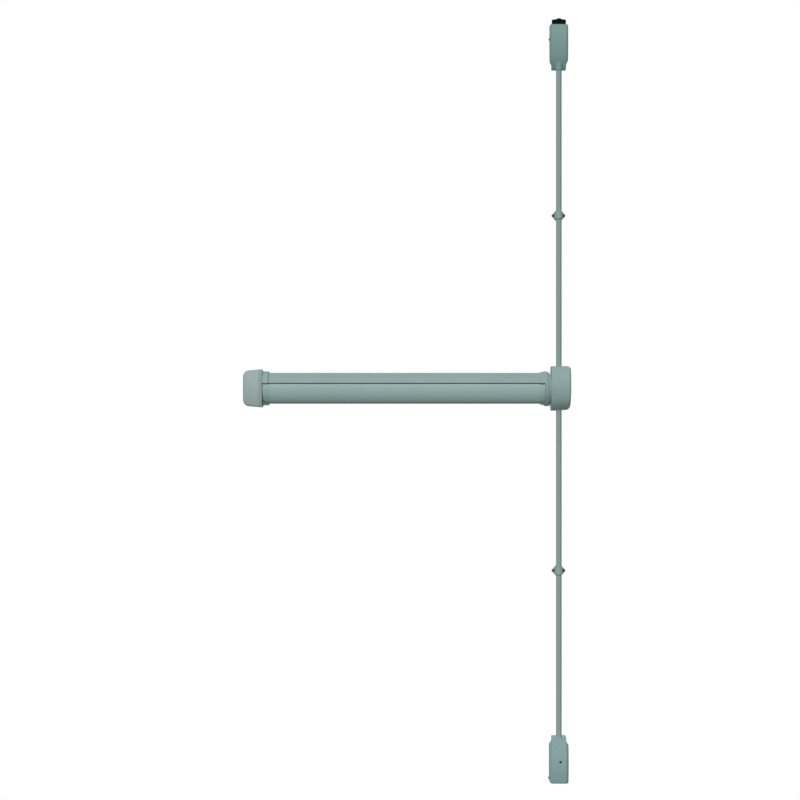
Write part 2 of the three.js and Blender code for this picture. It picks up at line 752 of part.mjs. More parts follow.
// Crank brackets: a plate on the rail's back with an ear above and below the crank
function crankBracket() {
  const half = bracketPlateHalf;
  const low = bracketPlateInset - barTop;
  const high = upperEarHigh + bracketPlateAbove;
  const ear = (from, to) => {
    const shape = outline([
      [-bracketEarHalf, tongueNear],
      [bracketEarHalf, tongueNear],
      [bracketEarHalf, crankPivotDepth + bracketEarHalf, bracketEarHalf - fitGap],
      [-bracketEarHalf, crankPivotDepth + bracketEarHalf, bracketEarHalf - fitGap],
    ]);
    return alongZ(shape, from, to);
  };
  return block(-half, half, tongueNear, tongueFar, low, high)
    .add(ear(upperEarLow, upperEarHigh))
    .add(ear(lowerEarLow, lowerEarHigh))
    .subtract(boreAlongZ(crankPinRadius + fitGap, lowerEarLow, upperEarHigh, 0, crankPivotDepth));
}

// Bell cranks: one arm to the pad's pin and one to the actuator's pin, each ending in a fork
function crankArm(angle, pin, nearest, furthest) {
  const tip = furthest + pin + crankTipWall;
  const slotStart = nearest - pin - slotPlay;
  const slotLength = tip + overrun - slotStart;
  const thick = crankHigh - crankLow;
  const middle = (crankLow + crankHigh) / 2;
  const arm = new THREE.BoxGeometry(tip, crankArmHalf * 2, thick);
  const slot = new THREE.BoxGeometry(slotLength, (pin + slotPlay) * 2, thick + overrun * 2);
  arm.translate(tip / 2, 0, middle).rotateZ(angle);
  slot.translate(slotStart + slotLength / 2, 0, middle).rotateZ(angle);
  return { arm: toSolid(arm), slot: toSolid(slot) };
}
function bellCrank() {
  const padSide = crankArm(Math.PI + crankHalfSwing, padPinRadius, -padPinX, padPinFar);
  const doorAngle = Math.PI / 2 + crankHalfSwing;
  const doorSide = crankArm(doorAngle, actuatorPinRadius, actuatorPinOffset, actuatorPinFar);
  return roundAlongZ(crankHubRadius, lowerEarHigh + earGap, crankHigh, 0, 0, boreSides)
    .add(padSide.arm)
    .add(doorSide.arm)
    .subtract(padSide.slot)
    .subtract(doorSide.slot)
    .subtract(boreAlongZ(crankPinRadius + fitGap, lowerEarLow, upperEarHigh, 0, 0));
}

// Pad brackets: a saddle inside the pad with two ears that hold the pad's pin
function padBracket() {
  const inset = padSkin + fitGap;
  const half = padSaddleHalf;
  const hollow = padOutline(inset + padSaddleThick, padBackDepth - overrun);
  const saddle = alongX(padOutline(inset, padBackDepth), -half, half).subtract(
    alongX(hollow, -half - overrun, half + overrun),
  );
  const inside = alongX(padOutline(inset, 0), -half, half);
  const ear = outline([
    [-padEarHalf, padPinDepth - padEarHalf, padEarHalf - fitGap],
    [padEarHalf, padPinDepth - padEarHalf, padEarHalf - fitGap],
    [padEarHalf, arcDepth + arcRadius],
    [-padEarHalf, arcDepth + arcRadius],
  ]);
  return saddle
    .add(alongZ(ear, upperEarLow, upperEarHigh).intersect(inside))
    .add(alongZ(ear, padEarLow, padEarHigh).intersect(inside))
    .subtract(boreAlongZ(padPinRadius + fitGap, padEarLow, upperEarHigh, 0, padPinDepth));
}

[["left", leftCrankX], ["right", rightCrankX]].forEach(([side, x]) => {
  const pinTop = upperEarHigh + fitGap + rivetHeadHeight;
  const pivot = headedPin(crankPinRadius, lowerEarLow - rivetHeadHeight, pinTop);
  const padPin = headedPin(padPinRadius, padEarLow - slideGap, pinTop);
  const barPin = roundAlongZ(actuatorPinRadius, actuatorLow, crankHigh - fitGap, 0, 0);
  const barPinX = x - actuatorTravel / 2;
  add("frame", "crank_bracket_" + side, crankBracket(), metal.plated(), x);
  add("frame", "crank_pivot_" + side, pivot, metal.plated(), x, crankPivotDepth);
  add(side + "Crank", "bell_crank_" + side, bellCrank(), metal.plated(), x, crankPivotDepth);
  add("pad", "pad_bracket_" + side, padBracket(), metal.plated(), x + padPinX);
  add("pad", "pad_pin_" + side, padPin, metal.plated(), x + padPinX, padPinDepth);
  add("actuator", "actuator_pin_" + side, barPin, metal.plated(), barPinX, actuatorPinDepth);
});

// Push pad and its end caps
const pushPad = alongX(padOutline(0, padBackDepth), padLeft, padRight).subtract(
  alongX(padOutline(padSkin, padBackDepth - overrun), padLeft - overrun, padRight + overrun),
);
add("pad", "push_pad", pushPad, paint.pad());

// A cap closes one end of the pad: a shell of the pad's outline and a plug that fits inside the pad
function padCap(length, drop, towardsLeft) {
  const plugInset = padSkin + fitGap;
  const [bodyFrom, bodyTo] = towardsLeft ? [-length, -fitGap] : [fitGap, length];
  const [plugFrom, plugTo] = towardsLeft ? [-length, padCapPlug] : [-padCapPlug, length];
  const [hollowFrom, hollowTo] = towardsLeft
    ? [-length + padCapWall, padCapPlug + overrun]
    : [-padCapPlug - overrun, length - padCapWall];
  return alongX(padOutline(0, padBackDepth, drop), bodyFrom, bodyTo)
    .add(alongX(padOutline(plugInset, padBackDepth, drop), plugFrom, plugTo))
    .subtract(alongX(padOutline(plugInset + padSkin, padBackDepth - overrun, drop), hollowFrom, hollowTo));
}
add("pad", "pad_end_cap_left", padCap(leftPadCapLength, 0, true), plastic(), padLeft);
add("pad", "pad_end_cap_right", padCap(rightPadCapLength, rightPadCapStep, false), plastic(), padRight);

// Actuator bar
const drivePlateLeft = actuatorRight - driveFootLength;
const driveRivetXs = [drivePlateLeft + driveRivetInset, actuatorRight - driveRivetInset];
const rivetBore = (low, high) => (x) =>
  boreAlongZ(driveRivetRadius + fitGap, low, high, x, actuatorDepth, studSides);
function actuatorBar() {
  const radius = actuatorPinRadius + fitGap;
  const pinBore = (x) => boreAlongZ(radius, actuatorLow, actuatorHigh, x, actuatorPinDepth);
  const bores = [leftCrankX, rightCrankX]
    .map((x) => pinBore(x - actuatorTravel / 2))
    .concat(driveRivetXs.map(rivetBore(actuatorLow, actuatorHigh)));
  const bar = block(actuatorLeft, actuatorRight, actuatorNear, actuatorFar, actuatorLow, actuatorHigh);
  return bores.reduce((solid, bore) => solid.subtract(bore), bar);
}
add("actuator", "actuator_bar", actuatorBar(), metal.plated());

// Drive plate: a foot under the bar's end and a web with the slot that the rocker's drive pin rides in
function drivePlate() {
  const slotHalf = rockerPinRadius + slotPlay;
  const slotLow = -driveReach - slotHalf;
  const slotHigh = drivePinRise + slotHalf;
  const slot = block(drivePinX - slotHalf, drivePinX + slotHalf, 0, actuatorFar, slotLow, slotHigh);
  const right = drivePinX + slotHalf + driveSlotSide;
  const web = block(drivePlateLeft, right, drivePlateNear, drivePlateFar, driveFootLow, -drivePlateDrop);
  const foot = block(drivePlateLeft, actuatorRight, drivePlateNear, actuatorFar, driveFootLow, driveFootHigh);
  return driveRivetXs
    .map(rivetBore(driveFootLow, driveFootHigh))
    .reduce((solid, bore) => solid.subtract(bore), web.add(foot).subtract(slot));
}
add("actuator", "drive_plate", drivePlate(), metal.plated());

driveRivetXs.forEach((x, i) => {
  const low = driveFootLow - rivetHeadHeight / 2;
  const seat = actuatorHigh + fitGap;
  const rivet = roundAlongZ(driveRivetRadius, low, seat, 0, 0, studSides).add(
    roundAlongZ(driveRivetRadius * 2, seat, seat + rivetHeadHeight / 2, 0, 0),
  );
  add("actuator", "drive_rivet_" + ["left", "right"][i], rivet, metal.plated(), x, actuatorDepth);
});

// Return spring with its seat on the rail and its collar on the bar
function barPassage(gap) {
  const low = actuatorLow - gap;
  const high = actuatorHigh + gap;
  return block(actuatorLeft, actuatorRight, actuatorNear - gap, actuatorFar + gap, low, high);
}
function springSeat() {
  const low = actuatorRise - springSeatHalf;
  const high = actuatorRise + springSeatHalf;
  const wallFar = actuatorFar + springSeatBeyond;
  return block(springSeatX, springSeatX + springSeatThick, tongueNear, wallFar, low, high)
    .add(block(springSeatX, springSeatX + springSeatFoot, tongueNear, tongueFar, low, high))
    .subtract(barPassage(slideGap));
}
add("frame", "spring_seat", springSeat(), metal.plated());

const springStart = springSeatX - fitGap - returnSpringLength;
function springCollar() {
  const right = springStart - fitGap;
  const half = returnSpringRadius + returnWire;
  const near = actuatorDepth - half;
  return block(
    right - springCollarThick, right, near, near + half * 2, actuatorRise - half, actuatorRise + half,
  ).subtract(barPassage(fitGap));
}
add("actuator", "spring_collar", springCollar(), metal.plated());

const returnCoil = coil(returnSpringRadius, returnWire, returnSpringLength, returnTurns);
returnCoil.rotateY(Math.PI / 2);
const returnSpring = toSolid(returnCoil);
add("actuator", "return_spring", returnSpring, metal.spring(), springStart, actuatorDepth, actuatorRise);

// Rocker: two arms for the rods' pins and a short one for the drive pin, drawn level and turned to rest
function rocker() {
  const half = rockerArmHalf;
  const round = half - fitGap;
  const arms = outline([
    [-rockerReach - half, -half, round],
    [rockerReach + half, -half, round],
    [rockerReach + half, half, round],
    [-rockerReach - half, half, round],
  ]);
  const driveArm = outline([
    [-half, -driveReach - half, round],
    [half, -driveReach - half, round],
    [half, 0],
    [-half, 0],
  ]);
  const bore = (radius, x, rise) => boreAlongY(radius + fitGap, rockerNear, rockerFar, x, rise);
  return alongY(arms, rockerNear, rockerFar)
    .add(alongY(driveArm, rockerNear, rockerFar))
    .add(roundAlongY(rockerHubRadius, rockerNear, rockerFar, 0, 0, boreSides))
    .subtract(bore(rockerPivotRadius, 0, 0))
    .subtract(bore(rockerPinRadius, rockerReach, 0))
    .subtract(bore(rockerPinRadius, -rockerReach, 0))
    .subtract(bore(rockerPinRadius, 0, -driveReach));
}
add("rocker", "rocker", rocker(), metal.plated()).rotation.y = rockerHalfSwing;

const slideFar = rodDepth + slideThick / 2;
const pinHeadNear = slideFar + slotPlay;
const rodPin = roundAlongY(rockerPinRadius, rockerNear - fitGap, pinHeadNear + pinHeadThick / 2, 0, 0).add(
  roundAlongY(rockerPinRadius + pinHeadThick, pinHeadNear, pinHeadNear + pinHeadThick, 0, 0),
);
add("rocker", "rocker_pin_left", rodPin, metal.plated(), -rockerPinX, 0, rockerPinRise);
add("rocker", "rocker_pin_right", rodPin, metal.plated(), rockerPinX, 0, -rockerPinRise);
const drivePin = roundAlongY(rockerPinRadius, drivePlateNear - slotPlay, rockerFar + fitGap, 0, 0);
add("rocker", "rocker_drive_pin", drivePin, metal.plated(), drivePinX, 0, drivePinRise);

const pivotNear = baseThick + fitGap;
const pivotHead = rockerFar + fitGap;
const rockerPivot = roundAlongY(rockerPivotFlange, pivotNear, pivotNear + rockerFlangeThick, 0, 0)
  .add(roundAlongY(rockerPivotRadius, pivotNear, pivotHead + rockerHeadThick, 0, 0))
  .add(roundAlongY(rockerPivotRadius + rockerFlangeThick, pivotHead, pivotHead + rockerHeadThick, 0, 0));
add("frame", "rocker_pivot", rockerPivot, metal.plated());

// Slides: each joins a rod to one pin of the rocker. The lower one is the upper one turned half round.
function slide() {
  const slotHalf = rockerPinRadius + slotPlay;
  const stem = rodRadius - rodWall - slotPlay * 2;
  const lugLeft = -rockerReach - slotHalf - slideLugWall;
  const lugRight = -rockerPinX + slotHalf + slideLugWall;
  const lugLow = rockerPinRise - slotHalf - slideLugWall;
  const shape = outline([
    [-stem, rodEndRise + slideTang],
    [-stem, slideClearRise + slideArmHeight],
    [lugLeft, slideClearRise + slideArmHeight, slideLugWall],
    [lugLeft, lugLow, slideLugWall],
    [lugRight, lugLow, slideLugWall],
    [lugRight, slideClearRise],
    [stem, slideClearRise],
    [stem, rodEndRise + slideTang],
  ]);
  const slot = block(
    -rockerReach - slotHalf, -rockerPinX + slotHalf, -slideThick, slideThick,
    rockerPinRise - slotHalf, rockerPinRise + slotHalf,
  );
  return alongY(shape, -slideThick / 2, slideThick / 2).subtract(slot);
}
add("upperRod", "upper_slide", slide(), metal.plated(), 0, rodDepth);
add("lowerRod", "lower_slide", slide(), metal.plated(), 0, rodDepth).rotation.y = Math.PI;

// Rods: tubes between the head and the latches
function tube(low, high) {
  const bore = boreAlongZ(rodRadius - rodWall, low, high, 0, rodDepth, rodSides);
  return roundAlongZ(rodRadius, low, high, 0, rodDepth, rodSides).subtract(bore);
}
add("upperRod", "upper_rod", tube(rodEndRise, topLatchStart + rodInLatch), paint.rod());
add("lowerRod", "lower_rod", tube(-bottomLatchStart - rodInLatch, -rodEndRise), paint.rod());

// Rod guides, with a screw in each ear
const guideScrewHead = guideThick + fitGap;
function rodGuide() {
  const cornerX = guideScrewX + guideCornerReach;
  const flange = outline([
    [cornerX, 0, guideEarRound],
    [0, guideCornerRise, guideWaistRound],
    [-cornerX, 0, guideEarRound],
    [0, -guideCornerRise, guideWaistRound],
  ]);
  const arch = [
    ...arcPoints(0, rodDepth, guideArchRadius, 0, Math.PI),
    new THREE.Vector2(-guideArchRadius, 0),
    new THREE.Vector2(guideArchRadius, 0),
  ];
  const hole = (x) => boreAlongY(screwRadius + fitGap, 0, guideThick, x, 0, studSides);
  return alongY(flange, 0, guideThick)
    .add(alongZ(arch, -guideArchHalf, guideArchHalf))
    .subtract(boreAlongZ(rodRadius + slideGap, -guideArchHalf, guideArchHalf, 0, rodDepth, boreSides))
    .subtract(hole(guideScrewX))
    .subtract(hole(-guideScrewX));
}
[["upper", upperGuideRise], ["lower", -lowerGuideDrop]].forEach(([place, rise]) => {
  add("frame", "rod_guide_" + place, rodGuide(), paint.cover(), 0, 0, rise);
  [["left", -guideScrewX], ["right", guideScrewX]].forEach(([side, x]) => {
    const name = "guide_screw_" + place + "_" + side;
    add("frame", name, socketScrew(guideScrewHead), metal.screw(), x, guideScrewHead, rise);
  });
});

// Latches. A place along a latch is measured from its neck's end, and way is 1 up or -1 down.
const latches = [
  {
    name: "top",
    way: 1,
    start: topLatchStart,
    length: topLatchLength,
    half: topLatchHalf,
    crownPlace: topCrownPlace,
    sideScrewPlace: topLatchLength - topSideScrewInset,
    boltStart: topLatchLength - topBoltInCase,
    boltTip: topLatchLength + topBoltReach,
    boltPeak: topBoltPeak,
  },
  {
    name: "bottom",
    way: -1,
    start: -bottomLatchStart,
    length: bottomLatchLength,
    half: bottomLatchHalf,
    crownPlace: bottomCrownPlace,
    sideScrewPlace: bottomLatchLength - bottomSideScrewInset,
    boltStart: bottomLatchLength - bottomBoltInCase,
    boltTip: bottomLatchLength - bottomBoltInset,
    boltPeak: 0,
  },
];

// Pieces of a latch are drawn from its neck's end, and a span along it is turned the way it points
const span = (latch, from, to) => (latch.way > 0 ? [from, to] : [-to, -from]);

function latchForm(latch, inset, back) {
  const half = latch.half - inset;
  const neck = neckHalf - inset;
  const end = latch.length - inset;
  const corners = [
    [neck, inset],
    [neck, neckLength],
    [half, neckLength + shoulderLength, latchCorner],
    [half, end, latchCorner - inset],
    [-half, end, latchCorner - inset],
    [-half, neckLength + shoulderLength, latchCorner],
    [-neck, neckLength],
    [-neck, inset],
  ];
  const face = outline(corners.map(([x, place, round = 0]) => [x, latch.way * place, round]));
  const crown = latchCrown - inset;
  const section = outline([
    [-half, 0],
    [-half, crown - latchEdge],
    [-half + latchEdge, crown],
    [half - latchEdge, crown],
    [half, crown - latchEdge],
    [half, 0],
  ]);
  const front = latchFront - inset;
  const solid = alongY(face, back, front + overrun);
  return solid.intersect(crowned(section, crown, front, latch.way * latch.crownPlace));
}

function latchCase(latch) {
  const boss = roundAlongZ(neckBossRadius, ...span(latch, 0, neckBossLength), 0, rodDepth, boreSides);
  const rodPassage = span(latch, -overrun, latchPlateStart);
  const mouth = block(
    -boltHalf - slideGap, boltHalf + slideGap, boltNear - slideGap, boltFar + slideGap,
    ...span(latch, latch.boltStart, latch.length + overrun),
  );
  const screwRise = latch.way * latch.sideScrewPlace;
  const inner = -latch.half + latchWall;
  return latchForm(latch, 0, 0)
    .add(boss)
    .subtract(latchForm(latch, latchWall, -overrun))
    .subtract(roundAlongZ(rodRadius + slideGap, ...rodPassage, 0, rodDepth, boreSides))
    .subtract(mouth)
    .subtract(boreAlongX(screwRadius + fitGap, -latch.half, inner, sideScrewDepth, screwRise, studSides));
}

// The plate under a latch's case, with a tab for the side screw and a bent ear that the spring rests on
function latchPlate(latch) {
  const side = latch.half - latchWall - fitGap;
  const plateEnd = latch.length - latchWall - fitGap;
  const tabFrom = latch.sideScrewPlace - latchTabHalf;
  const tabTo = Math.min(latch.sideScrewPlace + latchTabHalf, plateEnd);
  const tabInner = -side + latchTabThick;
  const screwRise = latch.way * latch.sideScrewPlace;
  const earSpan = span(latch, springEarPlace, springEarPlace + springEarThick);
  const fixingHole = (x) => boreAlongY(fixingHoleRadius, 0, latchPlateThick, x, latch.way * latchHolePlace);
  return block(-side, side, 0, latchPlateThick, ...span(latch, latchPlateStart, plateEnd))
    .add(block(-side, tabInner, 0, latchTabDepth, ...span(latch, tabFrom, tabTo)))
    .add(block(-springEarHalf, springEarHalf, 0, springEarDepth, ...earSpan))
    .subtract(boreAlongZ(studRadius + slideGap, ...earSpan, 0, rodDepth))
    .subtract(boreAlongX(screwRadius + fitGap, -side, tabInner, sideScrewDepth, screwRise, studSides))
    .subtract(fixingHole(latchHoleX))
    .subtract(fixingHole(-latchHoleX));
}

// A screw in a latch's left side, drawn with the underside of its head at the origin
function sideScrew() {
  const top = -screwHeadHeight;
  const shank = latchWall + fitGap * 2 + latchTabThick;
  return roundAlongX(screwRadius, top / 2, shank, 0, 0, studSides)
    .add(roundAlongX(screwHeadRadius, top, 0, 0, 0))
    .subtract(roundAlongX(socketRadius, top - overrun, top + socketDepth, 0, 0, hexSides));
}

// The bolt slides in the case's mouth and is bored for the adjuster's stud
function latchBolt(latch) {
  const tip = latch.boltTip;
  const corners = [
    [boltHalf, latch.boltStart],
    [boltHalf, tip, boltEdge],
    [0, tip + latch.boltPeak],
    [-boltHalf, tip, boltEdge],
    [-boltHalf, latch.boltStart],
  ];
  const face = outline(corners.map(([x, place, round = 0]) => [x, latch.way * place, round]));
  const bore = span(latch, latch.boltStart - overrun, latch.boltStart + studInBolt + overrun);
  return alongY(face, boltNear, boltFar).subtract(roundAlongZ(studRadius + fitGap, ...bore, 0, rodDepth));
}

// The adjuster: a plug in the rod's end, a nut against the rod, and a stud into the bolt
function adjuster(latch) {
  const nutFrom = rodInLatch + fitGap;
  const plugRadius = rodRadius - rodWall - fitGap;
  return roundAlongZ(plugRadius, ...span(latch, rodInLatch - adjusterPlug, nutFrom), 0, 0)
    .add(roundAlongZ(nutRadius, ...span(latch, nutFrom, nutFrom + nutHeight), 0, 0, hexSides))
    .add(roundAlongZ(studRadius, ...span(latch, nutFrom, latch.boltStart + studInBolt), 0, 0));
}

latches.forEach((latch) => {
  const rods = latch.way > 0 ? "upperRod" : "lowerRod";
  const rod = latch.way > 0 ? "upper_rod" : "lower_rod";
  const at = [0, 0, latch.start];
  let latchShell = latchCase(latch);
  if (latch.way < 0) {
    const hole = [screwRadius + fitGap, boltFar, latchFront, frontScrewX, -frontScrewPlace, studSides];
    latchShell = latchShell.subtract(boreAlongY(...hole));
  }
  add("frame", latch.name + "_latch_case", latchShell, paint.cover(), ...at);
  add("frame", latch.name + "_latch_base_plate", latchPlate(latch), metal.plated(), ...at);
  const sideScrewRise = latch.start + latch.way * latch.sideScrewPlace;
  const sideScrewAt = [-latch.half - fitGap, sideScrewDepth, sideScrewRise];
  add("frame", latch.name + "_latch_side_screw", sideScrew(), metal.screw(), ...sideScrewAt);
  add(rods, latch.name + "_bolt", latchBolt(latch), metal.bolt(), ...at);
  add(rods, rod + "_adjuster", adjuster(latch), metal.plated(), 0, rodDepth, latch.start);
  const springFrom = springEarPlace + springEarThick + fitGap;
  const springLength = latch.boltStart - fitGap - springFrom;
  const spring = coil(boltSpringRadius, boltWire, springLength, boltTurns);
  if (latch.way < 0) spring.rotateX(Math.PI);
  const springRise = latch.start + latch.way * springFrom;
  add(rods, latch.name + "_bolt_spring", toSolid(spring), metal.spring(), 0, rodDepth, springRise);
  report(latch.name + " bolt spring", boltWire, springLength, boltTurns);
});
report("return spring", returnWire, returnSpringLength, returnTurns);

// The screw in the bottom latch's front
const crownDrop = latchCrown - Math.sqrt(latchCrown ** 2 - (frontScrewPlace - bottomCrownPlace) ** 2);
const frontScrewSeat = latchFront - crownDrop + fitGap;
const frontScrew = socketScrew(frontScrewLength);
const frontScrewRise = -bottomLatchStart - frontScrewPlace;
const frontScrewAt = [frontScrewX, frontScrewSeat, frontScrewRise];
add("frame", "bottom_latch_front_screw", frontScrew, metal.screw(), ...frontScrewAt);

export default panicBar;
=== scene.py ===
# %% [markdown]
# # A panic exit bar, dressed piece by piece
# This file is a lesson. It takes a mechanical model of a panic exit bar, the push bar on an
# emergency exit door, and gives every piece that can be seen its real surface: rounded edges,
# crowned covers, satin paint. The model's own pieces stay where they are as a fixed frame, and
# the ones inside, which hardly show, keep their own shape and only get their steel.
# Run the cells from top to bottom.

# %% Load the frame
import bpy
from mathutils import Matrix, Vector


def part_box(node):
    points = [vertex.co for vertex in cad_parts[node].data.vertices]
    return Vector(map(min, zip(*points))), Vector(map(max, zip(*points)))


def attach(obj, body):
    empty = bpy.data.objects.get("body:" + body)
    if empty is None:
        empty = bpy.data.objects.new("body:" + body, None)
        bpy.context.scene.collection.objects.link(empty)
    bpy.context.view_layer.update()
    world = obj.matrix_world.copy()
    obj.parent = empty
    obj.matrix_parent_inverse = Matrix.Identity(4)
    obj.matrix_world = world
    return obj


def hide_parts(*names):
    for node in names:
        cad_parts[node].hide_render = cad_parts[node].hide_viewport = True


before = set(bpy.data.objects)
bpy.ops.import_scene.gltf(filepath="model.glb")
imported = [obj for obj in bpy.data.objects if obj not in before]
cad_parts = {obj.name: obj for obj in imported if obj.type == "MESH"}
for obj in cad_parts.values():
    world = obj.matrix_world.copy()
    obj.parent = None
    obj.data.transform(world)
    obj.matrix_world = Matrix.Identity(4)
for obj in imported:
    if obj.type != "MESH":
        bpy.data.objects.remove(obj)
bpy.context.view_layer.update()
print("pieces in the frame:", len(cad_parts))

# %% [markdown]
# ## The camera
# The product picture was taken straight from the front with a long lens. A perspective camera
# six metres away gives the same mild perspective, so the sides of the deep covers show just as
# much as they do there. An orthographic camera would hide them.

# %% Camera
import bpy
import math

camera = bpy.data.objects.new("camera", bpy.data.cameras.new("camera"))
bpy.context.scene.collection.objects.link(camera)
camera.location = (-0.422, -6.0, -0.031)
camera.rotation_euler = (math.radians(90), 0, 0)
camera.data.lens = 101.31
bpy.context.scene.camera = camera
print("camera", tuple(round(v, 3) for v in camera.location))

# %% [markdown]
# ## Light and surroundings
# A studio lights such a piece with broad soft lamps from above the camera. Sun lamps with a wide
# angle do the same and stay even over two metres of height, where an area lamp would fade. The
# world is white for what the camera and the reflections see, and weaker for the light it sheds.

# %% World and lamps
bpy.context.scene.view_settings.view_transform = "Standard"
world = bpy.data.worlds.new("studio")
bpy.context.scene.world = world
world.use_nodes = True


def seen_directly(tree):
    """1 for what the camera, a reflection or clear glass sees, and 0 for soft light."""
    path = tree.nodes.new("ShaderNodeLightPath")
    total = path.outputs["Is Camera Ray"]
    for name in ("Is Glossy Ray", "Is Transmission Ray"):
        either = tree.nodes.new("ShaderNodeMath")
        either.operation = "MAXIMUM"
        tree.links.new(total, either.inputs[0])
        tree.links.new(path.outputs[name], either.inputs[1])
        total = either.outputs[0]
    return total


background = world.node_tree.nodes["Background"]
background.inputs["Color"].default_value = (1, 1, 1, 1)
strength = world.node_tree.nodes.new("ShaderNodeMapRange")
strength.inputs["To Min"].default_value = 0.2
strength.inputs["To Max"].default_value = 1.0
world.node_tree.links.new(seen_directly(world.node_tree), strength.inputs["Value"])
world.node_tree.links.new(strength.outputs["Result"], background.inputs["Strength"])


def sun(name, elevation, bearing, strength, angle):
    """A soft distant lamp. Bearing 0 is the camera's side, and positive is to its right."""
    lamp = bpy.data.lights.new(name, "SUN")
    lamp.energy = strength
    lamp.angle = math.radians(angle)
    holder = bpy.data.objects.new(name, lamp)
    holder.rotation_euler = (math.radians(90 - elevation), 0, math.radians(bearing))
    bpy.context.scene.collection.objects.link(holder)


sun("key_lamp", 28, -16, 2.45, 50)
sun("back_lamp", 35, 160, 1.3, 60)

# %% [markdown]
# ## The floor
# The bar hangs on a door that isn't there, so the floor lies well below it and only catches its
# shadow. It ends before the camera's view reaches it. For the camera it is nearly white, and for
# the light it throws back it is grey, so that undersides stay as dark as they are over a real floor.

# %% Floor
floor_mesh = bpy.data.meshes.new("floor")
floor_mesh.from_pydata(
    [(-2.0, -2.2, -1.3), (1.2, -2.2, -1.3), (1.2, 0.55, -1.3), (-2.0, 0.55, -1.3)], [], [(0, 1, 2, 3)]
)
floor = bpy.data.objects.new("floor", floor_mesh)
bpy.context.scene.collection.objects.link(floor)

floor_paint = bpy.data.materials.new("floor_pale")
floor_paint.use_nodes = True
nodes, links = floor_paint.node_tree.nodes, floor_paint.node_tree.links
tone = nodes.new("ShaderNodeMix")
tone.data_type = "RGBA"
tone.inputs["A"].default_value = (0.25, 0.25, 0.25, 1)
tone.inputs["B"].default_value = (0.93, 0.93, 0.93, 1)
links.new(seen_directly(floor_paint.node_tree), tone.inputs["Factor"])
links.new(tone.outputs["Result"], nodes["Principled BSDF"].inputs["Base Color"])
nodes["Principled BSDF"].inputs["Roughness"].default_value = 0.9
floor_mesh.materials.append(floor_paint)

# %% [markdown]
# ## Satin paint
# The covers are sprayed with a silver effect paint that looks greenish grey. Close up, such paint
# has three scales: a broad, very faint change of tone, fine metal flakes, and the soft ripple
# that painters call orange peel. Three noise textures give them, one for the colour, one for the
# sparkle and one for the bump, all laid out in the object's own metres.

# %% Satin paint
def colour(red, green, blue):
    """A screen colour, 0 to 255, as the linear values that shaders use."""
    return [((v / 255 + 0.055) / 1.055) ** 2.4 for v in (red, green, blue)] + [1]


def noise(tree, scale, detail=2.0, roughness=0.5, stretch=(1, 1, 1)):
    """Noise over the object's own space, with a scale in waves per metre."""
    place = tree.nodes.new("ShaderNodeTexCoord")
    sizes = tree.nodes.new("ShaderNodeMapping")
    sizes.inputs["Scale"].default_value = stretch
    texture = tree.nodes.new("ShaderNodeTexNoise")
    texture.inputs["Scale"].default_value = scale
    texture.inputs["Detail"].default_value = detail
    texture.inputs["Roughness"].default_value = roughness
    tree.links.new(place.outputs["Object"], sizes.inputs["Vector"])
    tree.links.new(sizes.outputs["Vector"], texture.inputs["Vector"])
    return texture.outputs["Fac"]


def between(tree, value, low, high, source=(0.3, 0.7)):
    """Maps a texture's usual range onto the range that is wanted."""
    node = tree.nodes.new("ShaderNodeMapRange")
    node.inputs["From Min"].default_value, node.inputs["From Max"].default_value = source
    node.inputs["To Min"].default_value = low
    node.inputs["To Max"].default_value = high
    tree.links.new(value, node.inputs["Value"])
    return node.outputs["Result"]


def blended(tree, factor, one, other):
    """A colour between two others."""
    node = tree.nodes.new("ShaderNodeMix")
    node.data_type = "RGBA"
    tree.links.new(factor, node.inputs["Factor"])
    for name, value in (("A", one), ("B", other)):
        if isinstance(value, list):
            node.inputs[name].default_value = value
        else:
            tree.links.new(value, node.inputs[name])
    return node.outputs["Result"]


def bump(tree, height, strength, distance):
    """Gives the surface a fine relief."""
    node = tree.nodes.new("ShaderNodeBump")
    node.inputs["Strength"].default_value = strength
    node.inputs["Distance"].default_value = distance
    tree.links.new(height, node.inputs["Height"])
    return node.outputs["Normal"]


def finish(name):
    """A new material, its tree and its shader."""
    material = bpy.data.materials.new(name)
    material.use_nodes = True
    return material, material.node_tree, material.node_tree.nodes["Principled BSDF"]


def scaled(tone, share):
    """A colour made lighter or darker."""
    return [min(1, v * share) for v in tone[:3]] + [1]


def satin(name, tone, gloss=0.62, metal=0.04):
    """Silver effect paint: broad tone, flakes, ripple."""
    material, tree, shader = finish(name)
    broad = between(tree, noise(tree, 9, 3), 0, 1)
    flakes = between(tree, noise(tree, 1400, 1), 0, 1, (0.42, 0.62))
    base = blended(tree, broad, scaled(tone, 0.95), scaled(tone, 1.03))
    lit = blended(tree, flakes, base, scaled(tone, 1.07))
    tree.links.new(lit, shader.inputs["Base Color"])
    shader.inputs["Metallic"].default_value = metal
    shader.inputs["Specular IOR Level"].default_value = 0.25
    tree.links.new(between(tree, noise(tree, 60, 3), gloss - 0.05, gloss + 0.07), shader.inputs["Roughness"])
    ripple = bump(tree, noise(tree, 420, 2, 0.4), 0.1, 0.0003)
    tree.links.new(ripple, shader.inputs["Normal"])
    return material


finishes = {
    "painted_cover": satin("satin_cover", colour(138, 163, 161)),
    "painted_rail": satin("satin_rail", colour(141, 163, 159)),
    "painted_pad": satin("satin_pad", colour(151, 177, 174)),
    "painted_rod": satin("satin_rod", colour(132, 156, 154)),
}
end_paint = satin("satin_end_cover", colour(151, 168, 168))
# Both latch cases wear the same paint. The top case gets a darker copy of it, which is painted shade, and the
# bottom case gets a lighter copy, which is painted light. The two copies stand for how differently the light
# falls on the two cases.
latch_paint_shaded = satin("satin_latch_shaded", colour(119, 150, 148))
latch_paint_lit = satin("satin_latch_lit", colour(130, 158, 159))
print("paints:", sorted(finishes))

